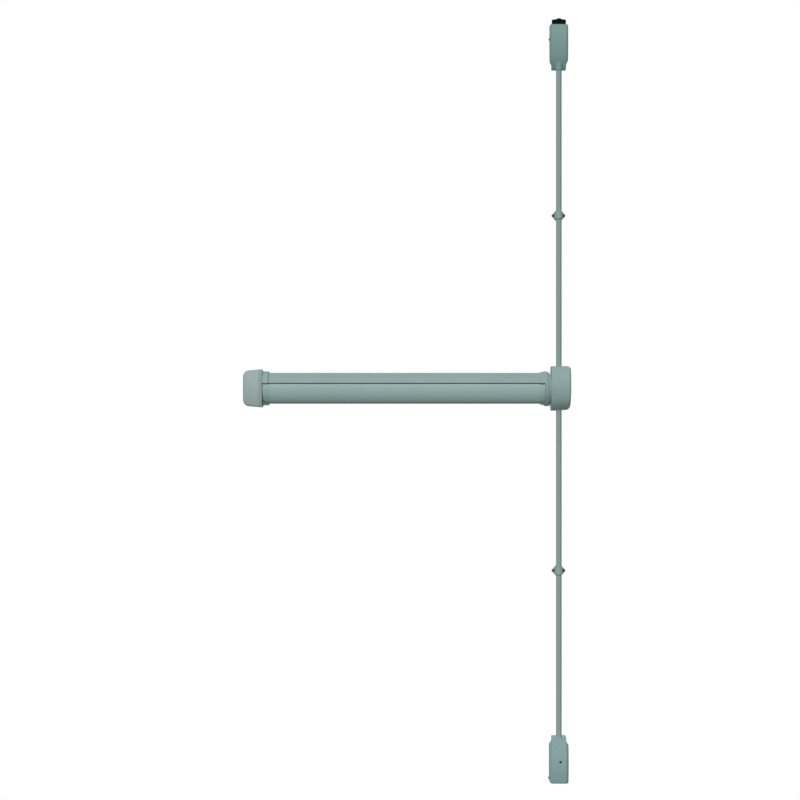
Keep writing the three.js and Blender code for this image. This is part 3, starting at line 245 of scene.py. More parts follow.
# %% [markdown]
# ## Plastic, steel and black finishes
# The pad's end caps are moulded, so their tone is in the plastic and the surface has a fine spark
# eroded grain. The hidden levers are zinc plated steel: cloudy patches over a fine drawn grain.
# The latch bolts are blackened, and the small screws are dark steel.

# %% Other finishes
def moulded(name, tone):
    """Plastic with a fine even grain from its mould."""
    material, tree, shader = finish(name)
    broad = between(tree, noise(tree, 25, 2), 0, 1)
    tree.links.new(blended(tree, broad, scaled(tone, 0.97), scaled(tone, 1.03)), shader.inputs["Base Color"])
    tree.links.new(between(tree, noise(tree, 900, 3), 0.5, 0.62), shader.inputs["Roughness"])
    tree.links.new(bump(tree, noise(tree, 1600, 3), 0.25, 0.0002), shader.inputs["Normal"])
    return material


def steel(name, tone, gloss, stretch, cloud=0.12, metal=1.0, sheen=0.5):
    """Steel with a drawn grain along one axis and the clouds that plating leaves."""
    material, tree, shader = finish(name)
    clouds = between(tree, noise(tree, 70, 4, 0.6), 0, 1)
    grain = noise(tree, 500, 3, 0.5, stretch)
    base = blended(tree, clouds, scaled(tone, 1 - cloud), scaled(tone, 1 + cloud))
    tree.links.new(base, shader.inputs["Base Color"])
    shader.inputs["Metallic"].default_value = metal
    shader.inputs["Specular IOR Level"].default_value = sheen
    tree.links.new(between(tree, grain, gloss - 0.08, gloss + 0.1), shader.inputs["Roughness"])
    tree.links.new(bump(tree, grain, 0.15, 0.0001), shader.inputs["Normal"])
    return material


finishes["pad_cap_plastic"] = moulded("moulded_cap", colour(146, 170, 166))
finishes["plated_steel"] = steel("plated_steel", colour(188, 192, 194), 0.38, (0.08, 1, 1))
finishes["spring_steel"] = steel("spring_steel", colour(150, 154, 158), 0.3, (1, 1, 0.2), 0.05)
finishes["black_bolt"] = steel("black_bolt", colour(9, 13, 14), 0.6, (1, 1, 0.1), 0.3, 0, 0.04)
finishes["dark_screws"] = steel("dark_screw", colour(42, 48, 49), 0.42, (1, 1, 1), 0.2, 0.8)

for name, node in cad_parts.items():
    slot = "spring_steel" if name.endswith("_spring") else "plated_steel"
    node.data.materials.clear()
    node.data.materials.append(finishes[slot])
print("finishes:", sorted(finishes))

# %% [markdown]
# ## Lofting
# Nearly every piece here is a skin over a row of rings: an extrusion has two equal rings, and a
# crowned cover has many that change slowly. One helper takes the rings, joins neighbours with
# four sided faces and closes both ends. Points are written in millimetres as x, depth from the
# door and height, the way a drawing of the bar would give them.

# %% Lofting
import bmesh
from mathutils import Vector


def model(name, points, faces):
    """A mesh object from points in millimetres, with its faces turned outwards."""
    mesh = bpy.data.meshes.new(name)
    mesh.from_pydata([(x / 1000, -depth / 1000, rise / 1000) for x, depth, rise in points], [], faces)
    shape = bmesh.new()
    shape.from_mesh(mesh)
    bmesh.ops.remove_doubles(shape, verts=shape.verts, dist=1e-6)
    bmesh.ops.recalc_face_normals(shape, faces=shape.faces)
    shape.to_mesh(mesh)
    shape.free()
    piece = bpy.data.objects.new(name, mesh)
    bpy.context.scene.collection.objects.link(piece)
    return piece


def loft(name, rings, closed=True):
    """A skin over rings that all have as many points. Closed rings get a face at each end."""
    count = len(rings[0])
    points = [point for ring in rings for point in ring]
    faces = []
    for i in range(len(rings) - 1):
        for j in range(count):
            a, b = i * count + j, i * count + (j + 1) % count
            faces.append((a, b, b + count, a + count))
    if closed:
        faces.append(tuple(range(count))[::-1])
        faces.append(tuple(range(len(points) - count, len(points))))
    return model(name, points, faces)


# %% [markdown]
# ## Finishing a piece
# A sharp edge in a smooth skin has to be marked, or the shading runs round it. The helper marks
# every edge that bends more than a given angle and adds weighted normals, which keep flat faces
# flat right up to their rounded edges. It also says what the piece rides on and stands for.

# %% Finishing a piece
def dress(piece, body, slot, *nodes, material=None, sharp=32):
    """Shades a piece, gives it its finish, and ties it to its body and the nodes it stands for."""
    shape = bmesh.new()
    shape.from_mesh(piece.data)
    for face in shape.faces:
        face.smooth = True
    for edge in shape.edges:
        edge.smooth = len(edge.link_faces) == 2 and edge.calc_face_angle(0) < math.radians(sharp)
    shape.to_mesh(piece.data)
    shape.free()
    normals = piece.modifiers.new("even_shading", "WEIGHTED_NORMAL")
    normals.keep_sharp = True
    piece.data.materials.clear()
    piece.data.materials.append(material or finishes[slot])
    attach(piece, body)
    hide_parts(*nodes)
    print(f"{piece.name}: {len(piece.data.polygons)} faces")
    return piece


def carved(piece, *cutters, operation="DIFFERENCE"):
    """Cuts other shapes out of a piece, or joins them to it, and clears them away."""
    for cutter in cutters:
        step = piece.modifiers.new("carve", "BOOLEAN")
        step.operation = operation
        step.solver = "EXACT"
        step.object = cutter
    bpy.context.view_layer.update()
    result = piece.evaluated_get(bpy.context.evaluated_depsgraph_get())
    mesh = bpy.data.meshes.new_from_object(result)
    piece.modifiers.clear()
    piece.data = mesh
    for cutter in cutters:
        bpy.data.objects.remove(cutter)
    return piece


def extent(node):
    """The extent of a frame piece in millimetres: along x, in depth from the door, and in height."""
    low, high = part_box(node)
    return low.x * 1000, high.x * 1000, -high.y * 1000, -low.y * 1000, low.z * 1000, high.z * 1000


def box(x0, x1, near, far, low, high):
    """A plain block, used only as a cutter."""
    ring = [(near, low), (far, low), (far, high), (near, high)]
    return loft("cutter", [[(x, depth, rise) for depth, rise in ring] for x in (x0, x1)])


# %% [markdown]
# ## The arched outline
# Rail, pad, collars and covers share one kind of cross section: flat behind, square at top and
# bottom, and bowed in front. It is drawn here from two corner arcs that touch one wide arc. Each
# arc has a fixed number of points, so that sections of different sizes can be lofted together.

# %% The arched outline
def arc(depth, rise, radius, start, end, count):
    """Points on an arc of depth and height, from one angle to another."""
    steps = [start + (end - start) * i / count for i in range(count + 1)]
    return [(depth + radius * math.cos(a), rise + radius * math.sin(a)) for a in steps]


def arched(low, high, radius, corners, middle, back=0):
    """An outline of depth and height. middle is the wide arc's centre, corners are low and high."""
    low_corner, high_corner = corners
    depth, rise = middle
    low_rise = low + low_corner - rise
    high_rise = high - high_corner - rise
    low_out = math.sqrt((radius - low_corner) ** 2 - low_rise**2)
    high_out = math.sqrt((radius - high_corner) ** 2 - high_rise**2)
    low_angle = math.atan2(low_rise, low_out)
    high_angle = math.atan2(high_rise, high_out)
    return (
        arc(depth + low_out, low + low_corner, low_corner, -math.pi / 2, low_angle, 8)
        + arc(depth, rise, radius, low_angle, high_angle, 30)[1:-1]
        + arc(depth + high_out, high - high_corner, high_corner, high_angle, math.pi / 2, 8)
        + [(back, high), (back, low)]
    )


def along_x(outline, x):
    """An outline of depth and height, placed at x."""
    return [(x, depth, rise) for depth, rise in outline]


def eased(outline):
    """Rounds the corners of an outline that come with a radius: (a, b, radius)."""
    points = []
    for i, corner in enumerate(outline):
        if len(corner) == 2:
            points.append(tuple(corner))
            continue
        here, radius = Vector(corner[:2]), corner[2]
        before = (Vector(outline[i - 1][:2]) - here).normalized()
        after = (Vector(outline[(i + 1) % len(outline)][:2]) - here).normalized()
        half = before.angle(after) / 2
        centre = here + (before + after).normalized() * (radius / math.sin(half))
        start = here + before * (radius / math.tan(half)) - centre
        end = here + after * (radius / math.tan(half)) - centre
        for k in range(6):
            spoke = start.lerp(end, k / 5).normalized() * radius
            points.append(tuple(centre + spoke))
    return points


# %% [markdown]
# ## The rail
# The body of the bar is an aluminium extrusion, open in front where the pad sits. The strip above
# the pad is turned inwards at its lower edge, and a short lip stands up at the bottom. Drawing
# the whole wall as one closed outline and pulling it along x is just how the real one is made.

# %% Rail
BAR = (11, 2)  # centre of the bar's wide arc: depth, height
LIP = -37.2  # top of the lip under the pad
STRIP_EDGE = 12.9  # lower edge of the strip above the pad


def on_arc(radius, rise):
    """Depth and height of the bar's arc at a height."""
    return (BAR[0] + math.sqrt(radius**2 - (rise - BAR[1]) ** 2), rise)


def rail_wall():
    """The rail's wall as one closed outline."""
    outside = arched(-41, 41, 52, (7, 7), BAR)
    inside = arched(-38.5, 38.5, 49.5, (4.5, 4.5), BAR, 2.5)
    upper_out = [p for p in outside[:-2] if p[1] > 15]
    lower_out = [p for p in outside[:-2] if p[1] < LIP - 1.2]
    upper_in = [p for p in inside[:-2] if p[1] > 18]
    lower_in = [p for p in inside[:-2] if p[1] < LIP - 0.7]
    edge = on_arc(52, STRIP_EDGE)
    return eased(
        [(*edge, 2)] + upper_out + [(0, 41, 0.8), (0, -41, 0.8)] + lower_out
        + [(*on_arc(52, LIP), 0.9), (*on_arc(49.5, LIP), 0.9)] + lower_in[::-1]
        + [(2.5, -38.5), (2.5, 38.5)] + upper_in[::-1]
        + [on_arc(49.5, 15.9), (edge[0] - 12, 15.9, 0.9), (edge[0] - 12, STRIP_EDGE, 0.9)]
    )


rail_left, rail_right = extent("chassis_rail")[:2]
rail = loft("rail_shell", [along_x(rail_wall(), x) for x in (rail_left, rail_right)])
for name in ("rail_end_frame_left", "rail_end_frame_right"):
    strap_left, strap_right = extent(name)[:2]
    carved(rail, box(strap_left - 0.3, strap_right + 0.3, -1, 2.8, -50, 50))
dress(rail, "frame", "painted_rail", "chassis_rail")
print("rail, mm long:", round(rail_right - rail_left))

# %% [markdown]
# ## The push pad
# The pad is a second extrusion, a shallow channel that nests in the rail's mouth. What the eye
# reads is the dark groove above it, so its upper front edge gets a clear rounding that catches
# the light next to that groove.

# %% Push pad
pad_left, pad_right, PAD_BACK, _, PAD_LOW, PAD_HIGH = extent("push_pad")
GROOVE_DROP = 0.6  # how far the pad's top stays below the frame's, for the groove above it


def pad_outline(inset, back=PAD_BACK, drop=0):
    """The pad's outside, or the same moved inwards."""
    corners = (max(0.5, 1.6 - inset), max(0.5, 3.2 - inset))
    return arched(PAD_LOW + inset, PAD_HIGH - GROOVE_DROP - inset - drop, 52 - inset, corners, BAR, back)


def channel(outside, inside):
    """The wall between two outlines that are open behind."""
    return outside[:-1] + [inside[-2]] + inside[-3::-1] + [inside[-1], outside[-1]]


pad_wall = channel(pad_outline(0), pad_outline(2.5))
pad = loft("pad_shell", [along_x(pad_wall, x) for x in (pad_left, pad_right)])
dress(pad, "pad", "painted_pad", "push_pad")

# %% [markdown]
# ## The pad's end caps
# A moulded cap closes each end of the pad. It follows the pad's outline and rounds over at its
# outer end. The rings run from inside the plug, out over the body and round to the end.

# %% Pad end caps
def pad_cap(name, start, end, roll, drop):
    """A cap from its joint with the pad to its outer end, which rolls over by a radius."""
    way = math.copysign(1, end - start)
    length = abs(end - start)
    rings = [(length - 3, 5.3, PAD_BACK + 2), (-8, 5.3, PAD_BACK + 2), (-8, 2.8, PAD_BACK)]
    rings += [(0.15, 2.8, PAD_BACK), (0.15, 0.2, PAD_BACK), (0.35, 0, PAD_BACK)]
    for k in range(7):
        angle = k / 6 * math.pi / 2
        rings.append((length - roll * (1 - math.sin(angle)), roll * (1 - math.cos(angle)), PAD_BACK))
    sections = [
        along_x(pad_outline(inset, back, drop), start + way * place)
        for place, inset, back in rings
    ]
    return loft(name, sections)


cap_reach = 0.4  # closes the gap to the left end cover
cap_left, cap_right = extent("pad_end_cap_left")[0] - cap_reach, extent("pad_end_cap_right")[1]
step_down = (PAD_HIGH - extent("pad_end_cap_right")[5]) / 3
left_cap = pad_cap("pad_cap_left", pad_left, cap_left, 1.3, 0)
dress(left_cap, "pad", "pad_cap_plastic", "pad_end_cap_left")
right_cap = pad_cap("pad_cap_right", pad_right, cap_right, 0.5, step_down)
dress(right_cap, "pad", "pad_cap_plastic", "pad_end_cap_right")

# %% [markdown]
# ## The collars
# A collar holds each end of the rail. Its outer end swells in a soft shoulder over the rail, and a
# window lets the pad's cap through. Rings of growing size give the shoulder, and a block cuts the
# window. The right collar also has a foot that stands on the door under the bar, and next to the
# head it steps in, so that a dark line parts the two. A short bridge closes that step below.

# %% Collars
def collar(name, steps, hollow):
    """A ring round the rail. Steps and hollow hold an x and how far the ring stands out there."""
    def section(x, grow, back):
        corners = (max(1, 7 + grow),) * 2
        return along_x(arched(-41 - grow, 41 + grow, 52 + grow, corners, BAR, back), x)

    outer = [section(x, grow, 0) for x, grow in steps]
    inner = [section(x, grow, 2.5) for x, grow in hollow]
    return loft(name, outer + inner + outer[:1], closed=False)


left_rim, left_end, _, _, _, collar_top = extent("rail_end_frame_left")
full = collar_top - 41
left_falls = [(4, 0), (2.4, 0.2), (1.2, 0.8), (0.4, 1.7), (0, 2.6)]
left_steps = [(left_rim, full - 0.4), (left_rim + 0.4, full)]
left_steps += [(left_end - before, full - fall) for before, fall in left_falls]
left_collar = collar("collar_left", left_steps, [(left_end, 0.3), (left_rim, 0.3)])
carved(left_collar, box(left_rim - 1, left_end + 1, 11, 70, LIP, 13.4))
dress(left_collar, "frame", "painted_cover", "rail_end_frame_left")

right_start, right_end, _, _, foot_low, _ = extent("rail_end_frame_right")
right_rises = [(0, 0.7), (0.4, 1), (2.2, 1.8), (4.9, 2.9), (7.5, 3.4), (10.1, 3.8), (15, 3.8)]
right_rises += [(16.5, 3.5), (18.5, 2.6), (20, 1.9), (21.4, 1.8), (22.4, 1.2), (22.8, -2.2)]
right_steps = [(right_start + place, rise) for place, rise in right_rises] + [(right_end, -2.2)]
right_hollow = [(right_end, -4.4), (rail_right + 0.3, -4.4), (rail_right + 0.3, 0.3), (right_start, 0.3)]
right_collar = collar("collar_right", right_steps, right_hollow)
foot_left = cap_right + 0.3
foot_ring = eased([(foot_left, 0), (foot_left, 38, 4), (right_end, 38), (right_end, 0)])
foot = loft("foot", [[(x, depth, rise) for x, depth in foot_ring] for rise in (foot_low, -41.5)])
bridge = box(rail_right + 0.4, right_end, 3, 34, -42.5, -38.2)
carved(right_collar, foot, bridge, operation="UNION")
carved(right_collar, box(right_start - 1, foot_left, 11, 70, LIP, 13.4))
dress(right_collar, "frame", "painted_cover", "rail_end_frame_right")

# %% [markdown]
# ## The left end cover
# This cover is a crowned shell. Seen from the front it narrows a little towards its rounded end,
# and a crease runs down it just before the rim. Sections are placed along x: close together where
# the end rounds over, one exactly on the crease, and the last on the rim.

# %% Left end cover
def rounding(distance, radius):
    """How far a rounded edge falls back at a distance from where it starts."""
    if distance >= radius:
        return 0
    return radius - math.sqrt(radius**2 - (radius - distance) ** 2)


def ramp(value, places):
    """Straight lines between pairs of value and result."""
    for (a, one), (b, two) in zip(places, places[1:]):
        if value <= b:
            return one + (two - one) * (value - a) / (b - a)
    return places[-1][1]


END_LEFT, END_RIGHT, _, _, _, END_HALF = extent("left_end_cover")
CREASE = END_RIGHT - 10


def bevelled(half, radius, centre, width, back):
    """An outline with a bowed front whose long edges are bevelled."""
    edge = half - width
    turn = math.asin(edge / radius)
    front = centre + radius * math.cos(turn)
    bow = arc(centre, 0, radius, -turn, turn, 30)[1:-1]
    shoulder = front - 0.8 * width
    low = [(back, -half), (shoulder, -half, 1.2), (front, -edge, 0.8)]
    high = [(front, edge, 0.8), (shoulder, half, 1.2), (back, half)]
    return eased(low + bow + high)


def end_section(x, inset, back):
    """The end cover's outline at x."""
    left, right = END_LEFT + inset, END_RIGHT - inset
    half = ramp(x, [(END_LEFT, END_HALF - 3), (END_LEFT + 16, END_HALF - 3), (END_RIGHT, END_HALF)]) - inset
    half -= rounding(x - left, 17 - inset) + rounding(right - x, 3 - inset)
    face = [(END_LEFT, 127.5), (END_LEFT + 0.8, 128.7), (END_LEFT + 6, 132.6), (END_LEFT + 7, 133.1)]
    radius = ramp(x, face + [(CREASE, 140), (END_RIGHT, 136.5)]) - inset
    radius -= rounding(right - x, 1.5 - min(inset, 1)) + rounding(x - left, 2)
    width = ramp(x, [(END_LEFT, 2.5), (END_LEFT + 6, 4.4), (CREASE, 4.4), (END_RIGHT, 3.2)])
    return along_x(bevelled(half, radius, -72, width, back), x)


outer_places = [0, 0.15, 0.5, 0.8, 1.2, 2, 3, 4, 5, 5.6, 6, 6.5, 7, 8, 9.5, 11.5, 14, 16, 20, 25, 30, 35]
end_span, to_crease = END_RIGHT - END_LEFT, CREASE - END_LEFT
outer_places += [to_crease - 0.7, to_crease, to_crease + 0.7, to_crease + 4]
outer_places += [end_span - d for d in (3, 2.2, 1.5, 0.9, 0.4, 0.1, 0)]
inner_places = (0, 0.3, 1, 2.2, 3.5, 5.5, 8, 10.5, 16, 24, 32, 38.5, 44, end_span - 5)
end_cover = loft("end_cover_shell", [end_section(END_LEFT + p, 0, 0) for p in outer_places])
end_hollow = loft("cutter", [end_section(END_LEFT + 2.5 + p, 2.5, -1) for p in inner_places])
opening = arched(-41.3, 41.3, 52.3, (7.3, 7.3), BAR, -1)
passage = loft("cutter", [along_x(opening, x) for x in (CREASE, END_RIGHT + 1)])
carved(end_cover, end_hollow, passage)
dress(end_cover, "frame", "painted_cover", "left_end_cover", material=end_paint)

# %% [markdown]
# ## The head cover
# The head hides the rocker that drives both rods. Its front is crowned from top to bottom, with
# the crest above the middle, its right side rolls over in a wide edge and its bottom runs up to
# the right. The lower front edge has the widest rounding: it shows as a dark band.

# %% Head cover
HEAD_LEFT, HEAD_RIGHT, _, _, HEAD_LOW, HEAD_HIGH = extent("head_cover")
ROD_DEPTH = 19  # the rods' axis, from the door
HEAD_SCREW = (9, 44)  # depth and height


def head_section(x, inset, back):
    """The head cover's outline at x."""
    left, right = HEAD_LEFT + inset, HEAD_RIGHT - inset
    high = HEAD_HIGH - inset - rounding(x - left, 2.5 - min(inset, 2)) - rounding(right - x, 10 - inset)
    low = ramp(x, [(HEAD_LEFT, HEAD_LOW), (HEAD_RIGHT, HEAD_LOW + 3)]) + inset
    low += rounding(x - left, 2.5 - min(inset, 2)) + rounding(right - x, 11 - inset)
    radius = 90 - inset - rounding(x - left, 1.2 - min(inset, 1)) - rounding(right - x, 6 - inset)
    return along_x(arched(low, high, radius, (48 - inset, 5 - inset), (-28, 8), back), x)


head_span = HEAD_RIGHT - HEAD_LEFT
head_places = [0, 0.15, 0.5, 1.1, 1.8, 2.6, 5, 10, 16, 22, 28, 33]
head_places += [head_span - d for d in (13, 10.5, 8.5, 7, 5.8, 4.6, 3.6, 2.6, 1.7, 1, 0.5, 0.2, 0)]
hollow_places = [0, 0.5, 2, 6, 12, 20, 28]
hollow_places += [head_span - 5 - d for d in (13, 10, 7.5, 5.5, 4, 2.7, 1.5, 0.7, 0.2, 0)]
head = loft("head_shell", [head_section(HEAD_LEFT + p, 0, 0) for p in head_places])
head_hollow = loft("cutter", [head_section(HEAD_LEFT + 2.5 + p, 2.5, -1) for p in hollow_places])


def post(x, depth, radius, low, high, count=64):
    """A round post, used as a cutter for a bore or joined on as a boss."""
    ring = [2 * math.pi * i / count for i in range(count)]
    points = [(x + radius * math.cos(a), depth + radius * math.sin(a)) for a in ring]
    return loft("cutter", [[(px, d, rise) for px, d in points] for rise in (low, high)])


def cross_bore(depth, rise, radius, x0, x1, count=48):
    """A round cutter along x."""
    ring = arc(depth, rise, radius, 0, 2 * math.pi, count)[:-1]
    return loft("cutter", [along_x(ring, x) for x in (x0, x1)])


carved(
    head, head_hollow, post(0, ROD_DEPTH, 8, -70, 70), box(HEAD_LEFT - 1, HEAD_LEFT + 2.6, -1, 45, -36, 36),
    cross_bore(*HEAD_SCREW, 3.3, HEAD_RIGHT - 3.1, HEAD_RIGHT + 1),
)
dress(head, "frame", "painted_cover", "head_cover")

# %% [markdown]
# ## The latch cases
# Each latch sits in a case with crowned front, rounded long edges and a narrower neck where the
# rod comes in. Here the sections lie across the case and follow one another from the neck to the
# outer end. The cutters open it for the rod, the bolt and the screws.

# %% Latch cases
SIDE_SCREW_DEPTH = 7.5


def case_section(half_left, half_right, front, back):
    """A case's outline of x and depth: a flat front as wide as the neck, and bevelled long edges."""
    points = []
    for side, half in ((1, half_right), (-1, half_left)):
        bevel = max(1.2, half - 19.4)
        ease = min(1.8, bevel * 0.9)
        low, high = (side * half, front - bevel, ease), (side * (half - bevel), front, ease)
        points.append([(side * half, back), low, high])
    return eased(points[0] + points[1][::-1])


def case_front(place, crest, front, fall):
    """Depth of a case's front: a crown that falls, or rises, by an amount towards the neck."""
    crown = CROWN - math.sqrt(CROWN**2 - (place - crest) ** 2)
    return front - crown - fall * max(0, 1 - place / 40) ** 2


def latch_form(name, spec, inset, back):
    """A latch case from its neck to its outer end, or its hollow."""
    start, way, length, wide, crest, roll, corners, fall = spec
    neck_places = [0, 0.1, 0.4, 0.8, 1.4, 3, 5, 7, 9, 11, 13, 14, 16, 18, 20, 22, 23, 24, 26, 29, 33]
    last = length - inset
    places = [p + inset for p in neck_places] + [40, 50, 60, 70, 80, 90, 98]
    places += [last - d for d in (11, 8, 6, 4.8, 3.7, 2.7, 1.8, 1.1, 0.6, 0.25, 0.06, 0)]
    sections = []
    for place in places:
        body = ramp(place, [(0, 19), (13, 19.2), (14, 19.5), (22.5, wide - 0.4), (25, wide), (length, wide)])
        body -= inset + rounding(place - inset, max(0.3, 1.4 - inset))
        sides = [body - rounding(last - place, max(0.5, corner - inset)) for corner in corners]
        front = case_front(place, crest, LATCH_FRONT, fall) - inset
        front -= rounding(place - inset, max(0.3, 1.4 - inset))
        front -= rounding(last - place, max(0.3, roll - inset))
        sections.append([(x, d, start + way * place) for x, d in case_section(*sides, front, back)])
    return loft(name, sections)


def latch_case(name, spec, screw_place):
    """A latch's case: form, boss for the rod, hollow and openings."""
    start, way, length, wide = spec[:4]
    case = latch_form(name, spec, 0, 0)
    carved(case, post(0, ROD_DEPTH, 9.4, *sorted((start - way * 1.5, start + way * 22))), operation="UNION")
    bolt_low, bolt_high = extent(name + "_bolt")[4:]
    mouth = (bolt_low, start + way * (length + 1)) if way > 0 else (start + way * (length + 1), bolt_high)
    passage = sorted((start - way * 3, start + way * 27))
    rise = start + way * screw_place
    carved(
        case, latch_form("cutter", spec, 2.5, -1), post(0, ROD_DEPTH, 8, *passage),
        box(-19, 19, 11.5, 25.5, *mouth), cross_bore(SIDE_SCREW_DEPTH, rise, 2.2, -wide - 1, -wide + 3),
    )
    case.name = name + "_latch_shell"
    return case


def latch_spec(node, way, crest, roll, corners, fall):
    """Start, way, length and half width from the frame's case, with the rest of its form."""
    low, high = extent(node)[4:]
    start, length = (low if way > 0 else high), high - low
    return start, way, length, extent(node)[1], crest, roll, corners, fall


CROWN, LATCH_FRONT = 170, extent("top_latch_case")[3]
TOP = latch_spec("top_latch_case", 1, 75, 5, (4, 4), 5)
BOTTOM = latch_spec("bottom_latch_case", -1, 73, 3, (8, 3.5), -4)
TOP_SCREW, BOTTOM_SCREW = TOP[2] - 38, BOTTOM[2] - 13
top_case = latch_case("top", TOP, TOP_SCREW)
# The top case takes the darker copy of the latch paint: painted shade.
dress(top_case, "frame", "painted_cover", "top_latch_case", material=latch_paint_shaded)
bottom_case = latch_case("bottom", BOTTOM, BOTTOM_SCREW)
print("latch cases, mm long:", round(TOP[2], 1), round(BOTTOM[2], 1))


def front_bore(x, rise, radius, near, far, count=48):
    """A round cutter along the depth."""
    ring = [2 * math.pi * i / count for i in range(count)]
    points = [(x + radius * math.cos(a), rise + radius * math.sin(a)) for a in ring]
    return loft("cutter", [[(px, depth, pz) for px, pz in points] for depth in (near, far)])


FRONT_SCREW = (3, BOTTOM[0] - 66)
carved(bottom_case, front_bore(*FRONT_SCREW, 2.2, 28, 40))
# The bottom case takes the lighter copy of the latch paint: painted light.
dress(bottom_case, "frame", "painted_cover", "bottom_latch_case", material=latch_paint_lit)

# %% [markdown]
# ## Rods
# The two rods are plain painted tubes. A ring of 64 points is smooth at any distance they are
# seen from, and the inner wall is there because the tube is open inside the latch.

# %% Rods
def rod(name, low, high):
    """A tube with softened ends."""
    steps = [(low, 6), (low, 7.2), (low + 0.3, 7.5), (high - 0.3, 7.5), (high, 7.2), (high, 6)]
    rings = []
    for rise, radius in steps:
        turn = [2 * math.pi * i / 64 for i in range(64)]
        rings.append([(radius * math.cos(a), ROD_DEPTH + radius * math.sin(a), rise) for a in turn])
    return loft(name, rings + rings[:1], closed=False)


dress(rod("upper_rod_tube", *extent("upper_rod")[4:]), "upper_rod", "painted_rod", "upper_rod")
dress(rod("lower_rod_tube", *extent("lower_rod")[4:]), "lower_rod", "painted_rod", "lower_rod")

# %% [markdown]
# ## Rod guides
# A guide keeps each rod near the door. It is a diamond flange with an arch over the rod. The
# flange is lofted through its thickness with an eased front edge, the arch along the rod.

# %% Rod guides
EAR = 13.9  # from the rods' axis to a guide's screw


def guide(name, middle):
    """A rod guide at a height."""
    diamond = eased([(20.3, 0, 4.5), (0, 21, 7), (-20.3, 0, 4.5), (0, -21, 7)])
    flange = []
    for depth, share in ((0, 1), (2.2, 1), (2.7, 0.985), (3, 0.96)):
        flange.append([(x * share, depth, middle + z * share) for x, z in diamond])
    piece = loft(name, flange)
    arch = []
    for rise, radius in ((-10, 9.3), (-9.7, 9.9), (-8.9, 10.5), (8.9, 10.5), (9.7, 9.9), (10, 9.3)):
        curve = arc(0, ROD_DEPTH, radius, 0, math.pi, 32)
        arch.append([(x, depth, middle + rise) for x, depth in curve + [(-radius, 0), (radius, 0)]])
    carved(piece, loft("cutter", arch), operation="UNION")
    bores = [front_bore(x, middle, 2.2, -1, 4) for x in (-EAR, EAR)]
    return carved(piece, post(0, ROD_DEPTH, 8, middle - 12, middle + 12), *bores)


GUIDES = {place: sum(extent("rod_guide_" + place)[4:]) / 2 for place in ("upper", "lower")}
for place, middle in GUIDES.items():
    dress(guide(place + "_guide", middle), "frame", "painted_cover", "rod_guide_" + place)

# %% [markdown]
# ## Bolts
# The top bolt stands out of its case with a low gable on its end and a small round hump in the
# middle. It is blackened steel with softened edges. Its outline is drawn from the front and
# pulled through its thickness, with slightly smaller end rings for the edges.

# %% Bolts
def bolt(name, outline, near, far):
    """A flat bolt from its outline of x and height."""
    middle = Vector((0, sum(p[1] for p in outline) / len(outline)))
    rings = []
    steps = ((near, 0.9), (near + 0.3, 0.3), (near + 0.9, 0), (far - 0.9, 0), (far - 0.3, 0.3), (far, 0.9))
    for depth, inset in steps:
        ring = []
        for x, rise, *_ in outline:
            away = Vector((x, rise)) - middle
            inwards = math.copysign(inset, away.x) if abs(x) > 1 else 0
            ring.append((x - inwards, depth, rise - math.copysign(inset, away.y)))
        rings.append(ring)
    return loft(name, rings)


bolt_low, bolt_peak = extent("top_bolt")[4:]
shoulder = bolt_peak - 4
hump = [(5.5 * math.cos(a), bolt_peak - 2 + 2 * math.sin(a)) for a in [math.pi * i / 10 for i in range(11)]]
top_outline = eased(
    [(18.5, bolt_low), (18.5, shoulder, 1.5), (6.5, bolt_peak - 2.4)] + hump
    + [(-6.5, bolt_peak - 2.4), (-18.5, shoulder, 1.5), (-18.5, bolt_low)]
)
dress(bolt("top_bolt_bar", top_outline, *extent("top_bolt")[2:4]), "upper_rod", "black_bolt", "top_bolt")
bolt_tip, bolt_high = extent("bottom_bolt")[4:]
bottom_outline = eased([(18.5, bolt_high), (18.5, bolt_tip, 1.5), (-18.5, bolt_tip, 1.5), (-18.5, bolt_high)])
bottom_bolt = bolt("bottom_bolt_bar", bottom_outline, *extent("bottom_bolt")[2:4])
dress(bottom_bolt, "lower_rod", "black_bolt", "bottom_bolt")

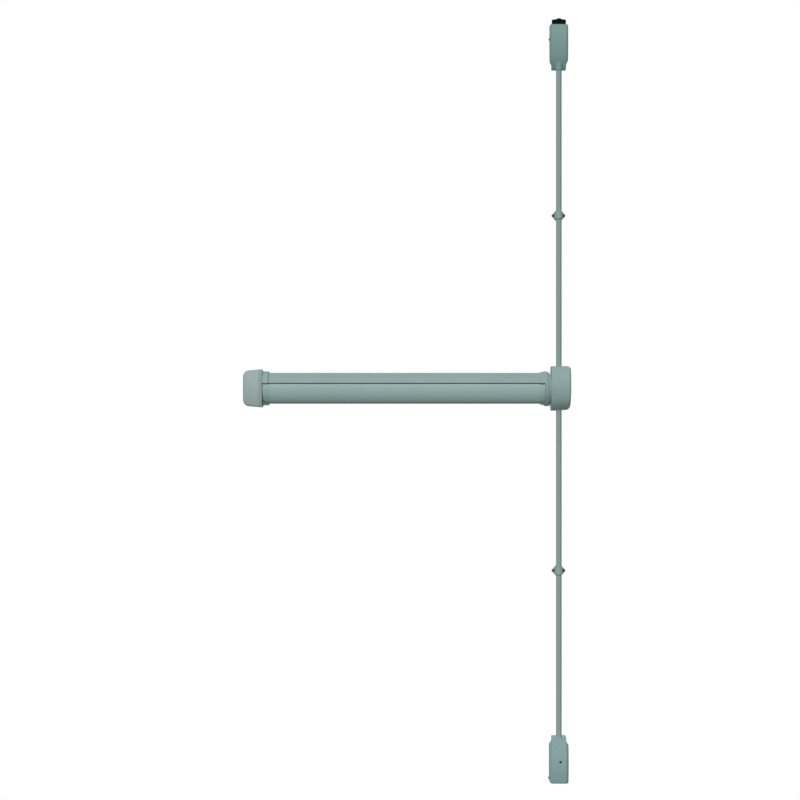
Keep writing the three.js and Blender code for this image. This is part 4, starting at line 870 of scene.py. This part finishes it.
# %% [markdown]
# ## Screws
# All screws are small socket heads. Rings go up the shank, out under the head, over its rim and
# down into a six sided socket: the socket's rings have as many points as the round ones, laid out
# on a hexagon, so no cutting is needed.

# %% Screws
def screw(name, tip, face, aim):
    """A socket screw from its tip to the face of its head. aim turns (out, a, b) into a point."""
    def ring(place, radius, six=False):
        points = []
        for i in range(48):
            angle = 2 * math.pi * i / 48
            reach = radius
            if six:
                reach = radius * math.cos(math.pi / 6) / math.cos((angle % (math.pi / 3)) - math.pi / 6)
            points.append(aim(place, reach * math.cos(angle), reach * math.sin(angle)))
        return points

    head = face - 1.8
    rings = [ring(tip, 1.5), ring(tip + 0.4, 1.9), ring(head, 1.9), ring(head, 2.8), ring(head + 0.2, 3)]
    rings += [ring(face - 0.35, 3), ring(face - 0.1, 2.85), ring(face, 2.6), ring(face, 1.8, True)]
    rings += [ring(face - 0.15, 1.65, True), ring(face - 1.1, 1.65, True)]
    return loft(name, rings)


for place, middle in GUIDES.items():
    for side, x in (("left", -EAR), ("right", EAR)):
        piece = screw(f"{place}_guide_screw_{side}", 0, 5.1, lambda d, a, b: (x + a, d, middle + b))
        dress(piece, "frame", "dark_screws", f"guide_screw_{place}_{side}")

front_tip, front_face = extent("bottom_latch_front_screw")[2:4]
screw_x, screw_rise = FRONT_SCREW
piece = screw("bottom_front_screw", front_tip, front_face, lambda d, a, b: (screw_x + a, d, screw_rise + b))
dress(piece, "frame", "dark_screws", "bottom_latch_front_screw")
for name, rise in (("top", TOP[0] + TOP_SCREW), ("bottom", BOTTOM[0] - BOTTOM_SCREW)):
    low, high = extent(f"{name}_latch_side_screw")[:2]
    piece = screw(f"{name}_side_screw", -high, -low, lambda d, a, b: (-d, SIDE_SCREW_DEPTH + a, rise + b))
    dress(piece, "frame", "dark_screws", f"{name}_latch_side_screw")
low, high = extent("head_cover_screw")[:2]
piece = screw("head_side_screw", low, high, lambda d, a, b: (d, HEAD_SCREW[0] + a, HEAD_SCREW[1] + b))
dress(piece, "frame", "dark_screws", "head_cover_screw")
